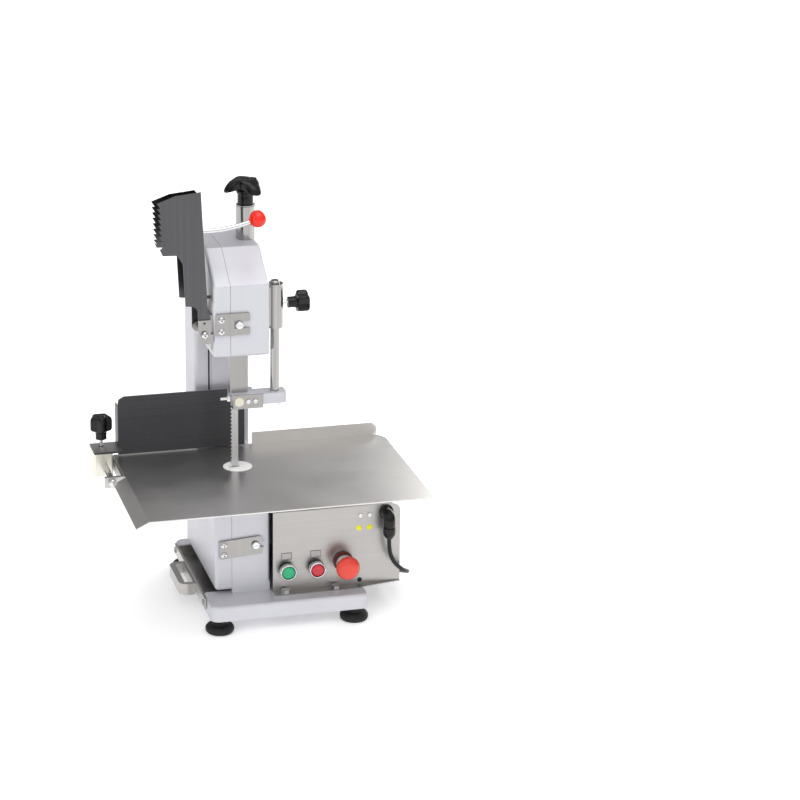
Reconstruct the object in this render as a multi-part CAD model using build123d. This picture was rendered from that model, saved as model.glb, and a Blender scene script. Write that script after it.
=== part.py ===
from build123d import *
import math
import os

# Bench bone saw: a band saw for meat and bone with a C-shaped cast frame.
# Millimetres. The origin is on the bench, between the four feet.
# +Z is up, +X is the feed direction (the blade's teeth face -X), -Y is the operator's front.

# ---------------------------------------------------------------- driving dimensions
GAP = 0.4                  # free space between faces that move past each other
RUN_FIT = 0.05             # radial play of a shaft in its bore

BASE_L, BASE_R, BASE_Y = -130.0, 136.0, 155.0   # sides and half depth of the base
FOOT_TOP, BASE_TOP = 24.0, 50.0
FOOT_XS, FOOT_Y, FOOT_R = (-113.5, 115.0), 137.0, 23.8

FRONT, BACK = -100.0, 134.0            # front and back of frame and door
COLUMN_Y = 52.0                        # front of the column
FRAME_L, FRAME_R = -84.0, -20.0        # seam with the door, and the right face
DOOR_L = -112.5
HEAD_LOW, HEAD_CORNER, HEAD_TOP = 460.0, 580.0, 626.0
CROWN_FRONT, CROWN_BACK = -33.5, 67.5  # ends of the flat top of the head
TABLE_LOW, TABLE_TOP = 256.0, 258.0
DOOR_LOW, DOOR_SHELF = 56.0, 228.0     # bottom of the door, and its edge under the table
CAVITY_SHELF = 226.0
HEAD_FLOOR = 463.5                     # clear of the wheel at the end of its travel
WALL = 5.0                             # wall of the casting
DOOR_WALL = 3.0

WHEEL_Y, UPPER_Z, LOWER_Z = 12.0, 545.0, 130.0
WHEEL_R, WHEEL_RIM_R = 72.0, 74.0
WHEEL_L, WHEEL_R_FACE = -81.0, -59.0
BLADE_L, BLADE_R, BLADE_T = -77.0, -64.0, 0.6
BLADE_IN = WHEEL_R + 0.3               # inner radius of the band on the wheels
BLADE_Y = WHEEL_Y - BLADE_IN           # back face of the cutting run

SCREW_X = -34.0                        # tension screw, straight above the carriage
TUBE_TOP, WASHER_TOP = 681.0, 683.0
TABLE_L, TABLE_R = -253.0, 210.0       # flat of the table
TABLE_F, TABLE_B = -269.0, 41.0
INSERT_X, INSERT_Y, INSERT_R = -65.0, -60.0, 24.0

POST_X, POST_Y, POST_R = -6.0, -76.0, 7.5
SLEEVE_R = 13.5
ARM_LOW, ARM_TOP = 373.5, 391.5
PAD_X, PAD_Z = -69.0, 381.0
HOLDER_SCREWS = (-54.0, -42.0)

RAIL_X, RAIL_Z, RAIL_R = -274.0, 248.0, 6.0
TRAY_SCREWS = (-106.0, 126.0)
FENCE_Y = 34.0

BOX_L, BOX_R, BOX_F, BOX_B, BOX_TOP = -17.5, 200.0, -112.0, 108.0, 190.0
SHEET = 1.5
BUTTON_Z = 88.5
START_X, STOP_X = 5.5, 55.0
ESTOP_X, ESTOP_Z = 102.0, 95.0
BUTTONS = ((START_X, BUTTON_Z), (STOP_X, BUTTON_Z), (ESTOP_X, ESTOP_Z))
PANEL_SCREW_X = (131.0, 147.0)
GLAND = (175.0, -134.0, 136.0)         # where the cord leaves the gland, downwards

PIVOT_X, PIVOT_Z = -127.0, 502.0       # pusher pivot, along Y
HINGE_X, HINGE_Y = -57.0, 141.0        # door hinge, vertical
LATCH_FACE = FRONT - 2.0               # back of the latch plates, clear of the frame as the door swings
LATCH_T = 2.0
UPPER_SCREWS = ((-100.0, 525.0), (-100.0, 506.0))
LOWER_SCREWS = ((-98.0, 137.0), (-98.0, 120.0))
LATCH_STUDS = ((-71.0, 516.0), (-45.0, 134.0))
SCREW_HEAD = 4.5                       # head radius of the latch screws
RIB_Y = (-80.0, 18.0)                  # ribs under the table
RIB_SCREWS = [(y + 9, z) for y in RIB_Y for z in (206.0, 244.0)]

CORD_R = 3.5
COIL = (150.0, 215.0)                  # middle of the stored coil
COIL_OUT, COIL_IN = 50.0, 32.0         # centre-line radii of its first and last turns
COIL_END = 32.0                        # straight ends of the coil


# ---------------------------------------------------------------- helpers
def block(x0, x1, y0, y1, z0, z1):
    """Box between two corners."""
    middle = Pos((x0 + x1) / 2, (y0 + y1) / 2, (z0 + z1) / 2)
    return middle * Box(abs(x1 - x0), abs(y1 - y0), abs(z1 - z0))


def rod_x(x0, x1, y, z, r):
    """Cylinder along X."""
    return Pos((x0 + x1) / 2, y, z) * Rot(0, 90, 0) * Cylinder(r, abs(x1 - x0))


def rod_y(x, y0, y1, z, r):
    """Cylinder along Y."""
    return Pos(x, (y0 + y1) / 2, z) * Rot(90, 0, 0) * Cylinder(r, abs(y1 - y0))


def rod_z(x, y, z0, z1, r):
    """Cylinder along Z."""
    return Pos(x, y, (z0 + z1) / 2) * Cylinder(r, abs(z1 - z0))


def cone_z(x, y, z0, z1, r0, r1):
    """Cone along Z, radius r0 at z0 and r1 at z1."""
    return Pos(x, y, (z0 + z1) / 2) * Cone(r0, r1, z1 - z0)


def outline(points, radii=None):
    """Face from corner points, with a rounding radius for all corners if one is given."""
    face = make_face(Polyline(*points, close=True))
    return fillet(face.vertices(), radii) if radii else face


def prism_x(points, x0, x1, radii=None):
    """(y, z) outline carried from x0 to x1."""
    return extrude(Plane.YZ.offset(x0) * outline(points, radii), x1 - x0)


def prism_y(points, y0, y1, radii=None):
    """(x, z) outline carried from y0 to y1."""
    front = Plane((0, y1, 0), x_dir=(1, 0, 0), z_dir=(0, -1, 0))
    return extrude(front * outline(points, radii), y1 - y0)


def prism_z(points, z0, z1, radii=None):
    """(x, y) outline carried from z0 to z1."""
    return extrude(Plane.XY.offset(z0) * outline(points, radii), z1 - z0)


def edges_at(shape, axis, value):
    """Edges that lie wholly in the plane axis = value."""
    return shape.edges().filter_by_position(axis, value - 0.01, value + 0.01)


def slotted_screw_y(x, z, face, head_r, length, tall=2.5):
    """Slotted pan screw driven in along +Y, its head standing on the plane y = face."""
    head = rod_y(x, face - tall, face, z, head_r)
    head = fillet(edges_at(head, Axis.Y, face - tall), tall * 0.4)
    slot = block(x - head_r, x + head_r, face - tall - 1, face - tall + 1.0, z - 0.6, z + 0.6)
    return head - slot + rod_y(x, face, face + length, z, head_r * 0.5)


def slotted_screw_x(y, z, face, head_r, length, tall=2.5):
    """Slotted pan screw driven in along +X, its head standing on the plane x = face."""
    head = rod_x(face - tall, face, y, z, head_r)
    slot = block(face - tall - 1, face - tall + 1.0, y - head_r, y + head_r, z - 0.6, z + 0.6)
    return head - slot + rod_x(face, face + length, y, z, head_r * 0.5)


def hexagon(radius):
    return RegularPolygon(radius, 6)


def hex_bolt_z(x, y, face, r, length):
    """Hex bolt driven down, its head standing on the plane z = face."""
    head = Pos(x, y, face) * extrude(hexagon(r), r * 0.7)
    return head + rod_z(x, y, face - length, face, r * 0.55)


def star_knob(lobes, radius, thick, neck_r, neck):
    """Lobed knob about Z, its neck below z = 0 and its lobed head above."""
    lobe = radius * 0.3
    reach = radius - lobe
    plan = Circle(radius * 0.78)
    for i in range(lobes):
        turn = 2 * math.pi * i / lobes
        plan += Pos(reach * math.cos(turn), reach * math.sin(turn)) * Circle(lobe)
    head = extrude(plan, thick)
    head = chamfer(head.edges().group_by(Axis.Z)[-1], 1.5)
    return head + rod_z(0, 0, -neck, 0, neck_r)


def save(name, *solids):
    """Write one node, one solid or several."""
    shape = solids[0] if len(solids) == 1 else Compound(children=list(solids))
    export_step(shape, os.path.join("parts", name + ".step"))


# ---------------------------------------------------------------- base
def base_plate():
    body = block(BASE_L, BASE_R, -BASE_Y, BASE_Y, FOOT_TOP, BASE_TOP)
    body = fillet(body.edges().filter_by(Axis.Z), 14)
    body = fillet(body.edges().group_by(Axis.Z)[-1], 5)
    body -= block(BASE_L - 2, -32.5, -88, 124, 29.2, BASE_TOP + 1)
    body -= block(-20, 118, -143, 143, FOOT_TOP - 1, 44)
    for y in (-94, 129):
        for x in (-70, -34):
            body -= rod_z(x, y, FOOT_TOP - 1, BASE_TOP + 1, 4)
            body -= rod_z(x, y, FOOT_TOP - 1, 34, 8)
    for x in FOOT_XS:
        for y in (-FOOT_Y, FOOT_Y):
            body += rod_z(x, y, FOOT_TOP, 44, 9)
            body -= rod_z(x, y, FOOT_TOP - 1, 42, 4)
    for x in (2, 87):
        body -= rod_z(x, -122, 30, BASE_TOP + 1, 4.4)
    return body


def rubber_feet():
    """Bun-shaped feet, each with a hub up to the base."""
    feet = []
    for x in FOOT_XS:
        for y in (-FOOT_Y, FOOT_Y):
            foot = cone_z(x, y, 0, 5, 20.5, FOOT_R) + rod_z(x, y, 5, 9, FOOT_R)
            foot += cone_z(x, y, 9, 13, FOOT_R, 19.5) + rod_z(x, y, 13, FOOT_TOP, 13)
            foot -= rod_z(x, y, -1, 10, 9)
            foot -= rod_z(x, y, 9, FOOT_TOP + 1, 4)
            feet.append(foot)
    return feet


def foot_screws():
    spots = [(x, y) for x in FOOT_XS for y in (-FOOT_Y, FOOT_Y)]
    return [rod_z(x, y, 5, 10, 8) + rod_z(x, y, 10, 42, 4) for x, y in spots]


# ---------------------------------------------------------------- frame and door
def c_outline(low, shelf, head, inset):
    """Outline of the C in (y, z): lower box, column at the back, head with a chamfered crown."""
    slope = inset * 0.45
    front, back = FRONT + inset, BACK - inset
    return [(front, low), (back, low), (back, HEAD_CORNER - slope), (CROWN_BACK - slope, HEAD_TOP - inset),
            (CROWN_FRONT + slope, HEAD_TOP - inset), (front, HEAD_CORNER - slope), (front, head),
            (COLUMN_Y + inset, head), (COLUMN_Y + inset, shelf), (front, shelf)]


def frame_casting():
    body = prism_x(c_outline(BASE_TOP, TABLE_LOW, HEAD_LOW, 0), FRAME_L, FRAME_R, 5)
    body = fillet(edges_at(body, Axis.X, FRAME_R), 4)
    cavity = c_outline(BASE_TOP - 6, CAVITY_SHELF, HEAD_FLOOR, WALL)
    body -= prism_x(cavity, FRAME_L - 1, FRAME_R - 6, 3)
    body += block(FRAME_L, FRAME_R, FRONT, FRONT + 12, BASE_TOP, BASE_TOP + 16)
    body += block(FRAME_L, FRAME_R, BACK - 12, BACK, BASE_TOP, BASE_TOP + 16)
    body -= block(FRAME_L + 6, FRAME_R - 6, FRONT + 6, 46, CAVITY_SHELF + 6, TABLE_LOW + 1)
    body -= block(-79, -60, -66, -55, CAVITY_SHELF - 1, CAVITY_SHELF + 7)
    body -= rod_z(INSERT_X, INSERT_Y, 252, TABLE_LOW + 1, 34)
    body -= block(FRAME_L - 1, -48, -85, -49, HEAD_LOW - 1, HEAD_LOW + WALL + 1)
    body -= rod_z(SCREW_X, WHEEL_Y, HEAD_TOP - 8, HEAD_TOP + 1, 6)
    body -= rod_x(FRAME_R - 7, FRAME_R + 1, WHEEL_Y, LOWER_Z, 26)
    for y in (-94, 129):
        for x in (-70, -34):
            body -= rod_z(x, y, BASE_TOP - 1, 64, 4)
    for x, z in LATCH_STUDS:
        body -= rod_y(x, FRONT - 1, FRONT + 4, z, 3)
    for y, z in RIB_SCREWS:
        body -= rod_x(FRAME_R - 6, FRAME_R + 1, y, z, 3)
    return body


def frame_bolts():
    spots = [(x, y) for x in (-70, -34) for y in (-94, 129)]
    return [rod_z(x, y, 28, 34, 7) + rod_z(x, y, 34, 62, 4) for x, y in spots]


def door_shell():
    body = prism_x(c_outline(DOOR_LOW, DOOR_SHELF, HEAD_LOW, 0), DOOR_L, FRAME_L - 0.5, 5)
    body = fillet(edges_at(body, Axis.X, DOOR_L), 6)
    cavity = c_outline(DOOR_LOW + DOOR_WALL, DOOR_SHELF - DOOR_WALL, HEAD_LOW + DOOR_WALL, DOOR_WALL)
    body -= prism_x(cavity, DOOR_L + DOOR_WALL, FRAME_L + 1, 3)
    for x, z in UPPER_SCREWS + LOWER_SCREWS:
        body -= rod_y(x, FRONT - 1, FRONT + 6, z, SCREW_HEAD / 2)
    return body


def door_gasket():
    """Black seal strip in the seam along the front of the column, set back from both faces."""
    return block(FRAME_L - 4, FRAME_L - 0.5, COLUMN_Y + DOOR_WALL, COLUMN_Y + 9, 262, 455)


HINGE_BOTTOMS = (152.0, 520.0)
KNUCKLE_R, KNUCKLE, PIN_R = 5.0, 14.0, 2.5


def hinge_leaves_frame():
    leaves = []
    for low in HINGE_BOTTOMS:
        high = low + 3 * KNUCKLE + 1
        leaf = block(HINGE_X + 6, -26, BACK, BACK + 2.5, low, high)
        for z in (low, high - KNUCKLE):
            leaf += rod_z(HINGE_X, HINGE_Y, z, z + KNUCKLE, KNUCKLE_R)
            leaf += block(HINGE_X, HINGE_X + 8, BACK, BACK + 4, z, z + KNUCKLE)
        leaves.append(leaf - rod_z(HINGE_X, HINGE_Y, low - 1, high + 1, PIN_R))
    return leaves


def hinge_leaves_door():
    leaves = []
    for low in HINGE_BOTTOMS:
        z0 = low + KNUCKLE + 0.5
        z1 = z0 + KNUCKLE
        leaf = block(DOOR_L + 7, FRAME_L - 3, BACK, BACK + 3.2, low, low + 3 * KNUCKLE + 1)
        leaf += block(FRAME_L - 4, HINGE_X, BACK + 0.7, BACK + 3.2, z0, z1)
        leaf += rod_z(HINGE_X, HINGE_Y, z0, z1, KNUCKLE_R)
        leaves.append(leaf - rod_z(HINGE_X, HINGE_Y, z0 - 1, z1 + 1, PIN_R + RUN_FIT))
    return leaves


def hinge_pins():
    pins = []
    for low in HINGE_BOTTOMS:
        high = low + 3 * KNUCKLE + 1
        pins.append(rod_z(HINGE_X, HINGE_Y, low, high, PIN_R) + rod_z(HINGE_X, HINGE_Y, high, high + 2, 4))
    return pins


def latch_plate(points, slot_points, screws, radius):
    """Flat hooked plate with a spacer boss under each screw."""
    plate = prism_y(points, LATCH_FACE - LATCH_T, LATCH_FACE, radius)
    for x, z in screws:
        plate += rod_y(x, LATCH_FACE, FRONT, z, 5)
        plate -= rod_y(x, LATCH_FACE - LATCH_T, FRONT, z, SCREW_HEAD / 2)
    return plate - prism_y(slot_points, LATCH_FACE - LATCH_T - 1, LATCH_FACE + 1)


def upper_latch_plate():
    points = [(-109.5, 499), (-53.5, 499), (-53.5, 535), (-109.5, 535)]
    slot = [(-79, 510), (-50, 510), (-50, 522), (-79, 522)]
    return latch_plate(points, slot, UPPER_SCREWS, 2)


def lower_latch_plate():
    points = [(-106, 113), (-34, 118), (-31, 128), (-31, 140), (-37, 149), (-106, 144)]
    slot = [(-51, 129.5), (-28, 129.5), (-28, 138.5), (-51, 138.5)]
    return latch_plate(points, slot, LOWER_SCREWS, 3)


def latch_screws():
    face = LATCH_FACE - LATCH_T
    return [slotted_screw_y(x, z, face, SCREW_HEAD, 8) for x, z in UPPER_SCREWS + LOWER_SCREWS]


def latch_studs():
    """Shouldered studs of the frame that the forks of the plates hook over."""
    studs = []
    for x, z in LATCH_STUDS:
        stud = rod_y(x, LATCH_FACE - LATCH_T - 1.8, FRONT + 4, z, 3)
        head = slotted_screw_y(x, z, LATCH_FACE - LATCH_T - 1.8, 6.5, 1, 3)
        studs.append(stud + head)
    return studs


# ---------------------------------------------------------------- wheels, blade, tension
def band_wheel(z, bore_r):
    """Flanged band wheel with a thin web and round lightening holes."""
    wheel = rod_x(WHEEL_L, -63, WHEEL_Y, z, WHEEL_R) + rod_x(-63, WHEEL_R_FACE, WHEEL_Y, z, WHEEL_RIM_R)
    for x0, x1 in ((WHEEL_L - 1, -73), (-67, WHEEL_R_FACE + 1)):
        wheel -= rod_x(x0, x1, WHEEL_Y, z, 63) - rod_x(x0, x1, WHEEL_Y, z, 23)
    for i in range(5):
        turn = 2 * math.pi * i / 5
        spot_y, spot_z = WHEEL_Y + 43 * math.cos(turn), z + 43 * math.sin(turn)
        wheel -= rod_x(WHEEL_L, WHEEL_R_FACE, spot_y, spot_z, 13)
    return wheel - rod_x(WHEEL_L - 1, WHEEL_R_FACE + 1, WHEEL_Y, z, bore_r)


def ring_x(x0, x1, z, outer, inner):
    """Ring about the wheel axis at height z."""
    return rod_x(x0, x1, WHEEL_Y, z, outer) - rod_x(x0 - 1, x1 + 1, WHEEL_Y, z, inner)


AXLE_R, WHEEL_BEARING_R = 8.5, 17.5
SHAFT_R, SHAFT_BEARING_R = 10.0, 21.0


def wheel_bearings():
    spans = ((WHEEL_L + 1, WHEEL_L + 10), (WHEEL_R_FACE - 10, WHEEL_R_FACE - 1))
    return [ring_x(x0, x1, UPPER_Z, WHEEL_BEARING_R, AXLE_R + RUN_FIT) for x0, x1 in spans]


def slide_block():
    body = block(-50, -32, WHEEL_Y - 22, WHEEL_Y + 22, UPPER_Z - 28, UPPER_Z + 28)
    body += block(-32, FRAME_R - 6.5, WHEEL_Y - 30, WHEEL_Y + 30, UPPER_Z - 28, UPPER_Z + 28)
    body -= rod_z(SCREW_X, WHEEL_Y, UPPER_Z - 29, UPPER_Z + 29, 4 + RUN_FIT)
    return body - rod_x(-51, -44, WHEEL_Y, UPPER_Z, 12)


def upper_axle():
    axle = rod_x(-57, -44, WHEEL_Y, UPPER_Z, 12) + rod_x(-84, -57, WHEEL_Y, UPPER_Z, AXLE_R)
    nut = Plane((-90, WHEEL_Y, UPPER_Z), x_dir=(0, 1, 0), z_dir=(1, 0, 0)) * hexagon(13)
    return axle + extrude(nut, 7)


def slide_rails():
    rails = []
    for side in (-1, 1):
        near, far, lip = WHEEL_Y + side * 30.5, WHEEL_Y + side * 38, WHEEL_Y + side * 22.5
        rail = block(-32.5, FRAME_R - 6, near, far, 500, 608)
        rails.append(rail + block(-38, -32.5, lip, far, 500, 608))
    return rails


def saw_blade():
    """Endless steel band round both wheels, 13 mm wide."""
    def loop(radius):
        path = block(BLADE_L, BLADE_R, WHEEL_Y - radius, WHEEL_Y + radius, LOWER_Z, UPPER_Z)
        path += rod_x(BLADE_L, BLADE_R, WHEEL_Y, LOWER_Z, radius)
        return path + rod_x(BLADE_L, BLADE_R, WHEEL_Y, UPPER_Z, radius)
    return loop(BLADE_IN + BLADE_T) - loop(BLADE_IN)


def tension_tube():
    tube = rod_z(SCREW_X, WHEEL_Y, HEAD_TOP, TUBE_TOP, 16)
    return tube - rod_z(SCREW_X, WHEEL_Y, HEAD_TOP - 1, TUBE_TOP + 1, 11)


def tension_spring():
    """Compression spring round the screw, inside the tube."""
    path = Pos(SCREW_X, WHEEL_Y, HEAD_TOP + 3) * Helix(pitch=7, height=49, radius=7.6)
    start = Plane(origin=path @ 0, z_dir=path % 0)
    return sweep(start * Circle(1.3), path=path, is_frenet=True)


def tension_screw():
    screw = rod_z(SCREW_X, WHEEL_Y, 520, 692, 4)
    return screw + rod_z(SCREW_X, WHEEL_Y, TUBE_TOP + GAP, WASHER_TOP, 15.5)


def tension_knob():
    """Three-lobed handwheel on a round neck."""
    plan = Circle(15)
    for angle in (-65, 55, 175):
        turn = math.radians(angle)
        plan += Pos(13 * math.cos(turn), 13 * math.sin(turn)) * Rot(0, 0, angle) * Rectangle(26, 16)
        plan += Pos(24 * math.cos(turn), 24 * math.sin(turn)) * Circle(10)
    head = extrude(plan, 20)
    head = chamfer(head.edges().group_by(Axis.Z)[-1], 1.5)
    knob = Pos(SCREW_X, WHEEL_Y, 700) * head + rod_z(SCREW_X, WHEEL_Y, WASHER_TOP, 701, 13.2)
    return knob - rod_z(SCREW_X, WHEEL_Y, WASHER_TOP - 1, 692, 4)


def lower_shaft():
    shaft = rod_x(-84, 14, WHEEL_Y, LOWER_Z, SHAFT_R)
    nut = Plane((-90, WHEEL_Y, LOWER_Z), x_dir=(0, 1, 0), z_dir=(1, 0, 0)) * hexagon(13)
    return shaft + extrude(nut, 6) + ring_x(-84, WHEEL_L, LOWER_Z, 15, SHAFT_R)


def bearing_housing():
    body = ring_x(-54, FRAME_R + 1, LOWER_Z, 26, SHAFT_BEARING_R)
    return body + ring_x(FRAME_R, FRAME_R + 8, LOWER_Z, 45, SHAFT_BEARING_R)


def shaft_bearings():
    spans = ((-54, -42), (FRAME_R - 6, FRAME_R + 6))
    return [ring_x(x0, x1, LOWER_Z, SHAFT_BEARING_R, SHAFT_R + RUN_FIT) for x0, x1 in spans]


def motor():
    body = rod_x(FRAME_R + 8, 40, WHEEL_Y, LOWER_Z, 45) + rod_x(40, 162, WHEEL_Y, LOWER_Z, 54)
    for i in range(24):
        turn = 2 * math.pi * i / 24
        y, z = WHEEL_Y + 54 * math.cos(turn), LOWER_Z + 54 * math.sin(turn)
        body -= rod_x(60, 163, y, z, 2.2)
    return body - rod_x(FRAME_R + 7, 20, WHEEL_Y, LOWER_Z, SHAFT_R + 1)


def motor_bolts():
    bolts = []
    for i in range(4):
        turn = math.pi / 4 + math.pi * i / 2
        y, z = WHEEL_Y + 36 * math.cos(turn), LOWER_Z + 36 * math.sin(turn)
        bolts.append(rod_x(-32, -26, y, z, 6))
    return bolts


def blade_scrapers():
    """Nylon blocks that wipe both faces of the cutting run, just above the lower wheel."""
    spans = ((-71, BLADE_Y - BLADE_T - GAP), (BLADE_Y + GAP, -50))
    return [block(-78, FRAME_R - 6, y0, y1, 208, 222) for y0, y1 in spans]


# ---------------------------------------------------------------- table
def work_table():
    """Stainless sheet with sloped lips left and right and an upstand along the back."""
    plan = [(TABLE_L, TABLE_F), (TABLE_R, TABLE_F), (TABLE_R, TABLE_B), (TABLE_L, TABLE_B)]
    top = prism_z(plan, TABLE_LOW, TABLE_TOP)
    corner = top.edges().filter_by(Axis.Z).sort_by(Axis.X)[-2:].sort_by(Axis.Y)[-1]
    top = fillet(corner, 32)
    left = [(TABLE_L, 258), (TABLE_L - 21, 248), (TABLE_L - 21, 246), (TABLE_L, 256)]
    right = [(TABLE_R, 258), (TABLE_R + 16, 250), (TABLE_R + 16, 248), (TABLE_R, 256)]
    top += prism_y(left, TABLE_F, -68)
    top += prism_y(right, TABLE_F, TABLE_B - 34)
    top += block(TABLE_L - 1.5, TABLE_L + 0.5, -66, TABLE_B, 238, TABLE_TOP)
    upstand = [(-18, TABLE_LOW), (199, TABLE_LOW), (199, 271), (192, 278), (-18, 278)]
    top += prism_y(upstand, TABLE_B - 2, TABLE_B)
    top += rod_z(INSERT_X, INSERT_Y, 254, TABLE_LOW, 31)
    top -= rod_z(INSERT_X, INSERT_Y, 253, TABLE_LOW, 20)
    return top - rod_z(INSERT_X, INSERT_Y, TABLE_LOW, TABLE_TOP + 1, INSERT_R)


def table_insert():
    disc = rod_z(INSERT_X, INSERT_Y, TABLE_LOW, TABLE_TOP + 0.3, INSERT_R)
    return disc - block(BLADE_L - 3, BLADE_R + 3, BLADE_Y - 2.6, BLADE_Y + 2, 250, 260)


def table_brackets():
    """Triangular ribs that carry the right side of the table from the frame."""
    rib = [(FRAME_R, 196), (FRAME_R, TABLE_LOW), (150, TABLE_LOW), (150, 248), (10, 196)]
    ribs = []
    for y in RIB_Y:
        flange = block(FRAME_R, 150, y, y + 16, TABLE_LOW - 3, TABLE_LOW)
        foot = block(FRAME_R, FRAME_R + 3, y, y + 16, 196, TABLE_LOW)
        piece = prism_y(rib, y, y + 3) + flange + foot
        for z in (206, 244):
            piece -= rod_x(FRAME_R - 1, FRAME_R + 4, y + 9, z, 3)
        ribs.append(piece)
    return ribs


def table_screws():
    """Screws through the ribs under the table into the frame."""
    return [rod_x(FRAME_R - 6, FRAME_R + 3, y, z, 3) + rod_x(FRAME_R + 3, FRAME_R + 6, y, z, 5)
            for y, z in RIB_SCREWS]


# ---------------------------------------------------------------- blade guide
def guide_sleeve():
    sleeve = rod_z(POST_X, POST_Y, 500, 573, SLEEVE_R) + block(FRAME_R, POST_X, POST_Y - 10, POST_Y + 10, 504, 569)
    sleeve -= rod_z(POST_X, POST_Y, 499, 574, POST_R + RUN_FIT)
    return sleeve - rod_x(0, POST_X + SLEEVE_R + 1, POST_Y, 539, 3)


def guide_post():
    post = rod_z(POST_X, POST_Y, ARM_LOW, 578, POST_R)
    post = chamfer(post.edges().group_by(Axis.Z)[-1], 1)
    return post


def guide_arm():
    """Cast bar from the post to the blade, slotted so that the band runs between its jaws."""
    body = block(-79, 11, -90, -62.2, ARM_LOW, ARM_TOP)
    body += block(-79, -40, -62.2, -50, ARM_LOW, ARM_TOP)
    body = fillet(body.edges().filter_by(Axis.Z).sort_by(Axis.X)[-2:], 6)
    body -= block(-80, -61, -62.6, -57.4, ARM_LOW - 1, ARM_TOP + 1)
    body -= rod_z(POST_X, POST_Y, ARM_LOW - 1, ARM_TOP + 1, POST_R)
    body -= rod_y(PAD_X, -91, -62, PAD_Z, 6)
    body -= rod_y(PAD_X, -58, -49, PAD_Z, 6)
    return body


def guide_holder():
    """Bent plate on the front of the arm that carries the front pad."""
    plate = block(-79, -29, -92, -90, 368.5, 392)
    plate += block(-79, -77, -92, -78, 368.5, 372.5)
    for x in HOLDER_SCREWS:
        plate -= rod_y(x, -93, -89, PAD_Z, 2)
    return plate - rod_y(PAD_X, -93, -89, PAD_Z, 7.5)


def guide_pads():
    """Low-friction pads, one each side of the band, and the ring round the front one."""
    front = rod_y(PAD_X, -94, -90, PAD_Z, 7.5) + rod_y(PAD_X, -90, BLADE_Y - BLADE_T - GAP, PAD_Z, 6)
    back = rod_y(PAD_X, BLADE_Y + GAP, -50, PAD_Z, 6)
    return [front, back]


def guide_screws():
    adjuster = rod_x(-97, -79, -76, 383, 2.5)
    nut = Plane((-86, -76, 383), x_dir=(0, 1, 0), z_dir=(1, 0, 0)) * hexagon(5)
    screws = [slotted_screw_y(x, PAD_Z, -92, 4, 2) for x in HOLDER_SCREWS]
    return screws + [adjuster + extrude(nut, 5), rod_z(2, -76, 366, ARM_LOW, 3)]


def blade_guard():
    """Sheet channel that covers the front of the band above the guide."""
    low, high = ARM_TOP, 515
    front = block(-79, -52, -76.5, -75, low, high)
    side = block(-53.5, -52, -75, -66, low, high)
    bent = [(-79, -76.5), (-79, -75), (-80.5, -70), (-82, -70), (-80.5, -76)]
    return front + side + prism_z(bent, low, high)


def guide_lock_knob():
    """Star knob on a stud along X; the stud presses a flat of the post."""
    knob = Pos(28, POST_Y, 539) * Rot(0, 90, 0) * star_knob(5, 19, 20, 9.5, 13)
    return knob + rod_x(POST_X + POST_R + 0.6, 16, POST_Y, 539, 3 - RUN_FIT)


# ---------------------------------------------------------------- fence
def fence_rod():
    return rod_y(RAIL_X, -58, 75, RAIL_Z, RAIL_R)


def rod_bracket():
    """U-shaped strap on the left flange of the table that holds the rod at both ends."""
    body = block(-258, TABLE_L - 1.5, -58, 75, 238, TABLE_LOW)
    body += block(-286, TABLE_L - 1.5, -58, -52, 238, TABLE_LOW)
    body += block(-286, TABLE_L - 1.5, 69, 75, 238, TABLE_LOW)
    return body - fence_rod()


def rod_nuts():
    """Domed nut on the front end of the rod and a plain one at the back."""
    dome = fillet(edges_at(rod_y(RAIL_X, -66.5, -58, RAIL_Z, 6.5), Axis.Y, -66.5), 4)
    return [dome, rod_y(RAIL_X, 75, 80, RAIL_Z, 7)]


def fence_plate():
    """Upright plate with a rounded outer corner, a return flange and an arm over the clamp block."""
    points = [(-247, 260), (-32, 260), (-32, 361), (-236, 361), (-245, 356), (-247, 345)]
    plate = prism_y(points, FENCE_Y, FENCE_Y + 2.5)
    plate += block(-247, -244.5, FENCE_Y, 60, 271, 343)
    plate += block(-291, -243.5, 12, 60, 271, 274)
    return plate - rod_z(RAIL_X, 44, 270, 275, 4)


def fence_block():
    body = block(-291, -260, 12, 60, 232, 271)
    body = fillet(body.edges().filter_by(Axis.Z), 3)
    body -= rod_y(RAIL_X, 11, 61, RAIL_Z, RAIL_R + RUN_FIT)
    return body - rod_z(RAIL_X, 44, 250, 272, 4)


def fence_knob():
    """Star knob on a stud that clamps the rod."""
    knob = Pos(RAIL_X, 44, 300) * star_knob(5, 19, 26, 9.5, 14)
    return knob + rod_z(RAIL_X, 44, RAIL_Z + RAIL_R + 0.6, 287, 4 - RUN_FIT)


# ---------------------------------------------------------------- scrap tray
def scrap_tray():
    pan = block(-131, -34, -86, 122, 30, 49.6) - block(-129.8, -35.2, -84.8, 120.8, 31.2, 51)
    pan += block(-134, -131, -115, 135, 32, BASE_TOP)
    for y in TRAY_SCREWS:
        pan -= rod_x(-135, -130, y, 41, 2.5)
    return pan


def tray_handle():
    """Pressed bail handle with rounded corners, open in the middle."""
    outer = [(-134, -40), (-160, -40), (-160, 60), (-134, 60)]
    body = prism_z(outer, 27, 47)
    body = fillet(body.edges().filter_by(Axis.Z).sort_by(Axis.X)[:2], 14)
    body -= prism_z([(-135.5, -36), (-156, -36), (-156, 56), (-135.5, 56)], 26, 43)
    body -= block(-150, -136, -30, 50, 42, 48)
    return body


def tray_screws():
    return [slotted_screw_x(y, 41, -134, 5, 3) for y in TRAY_SCREWS]


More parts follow.
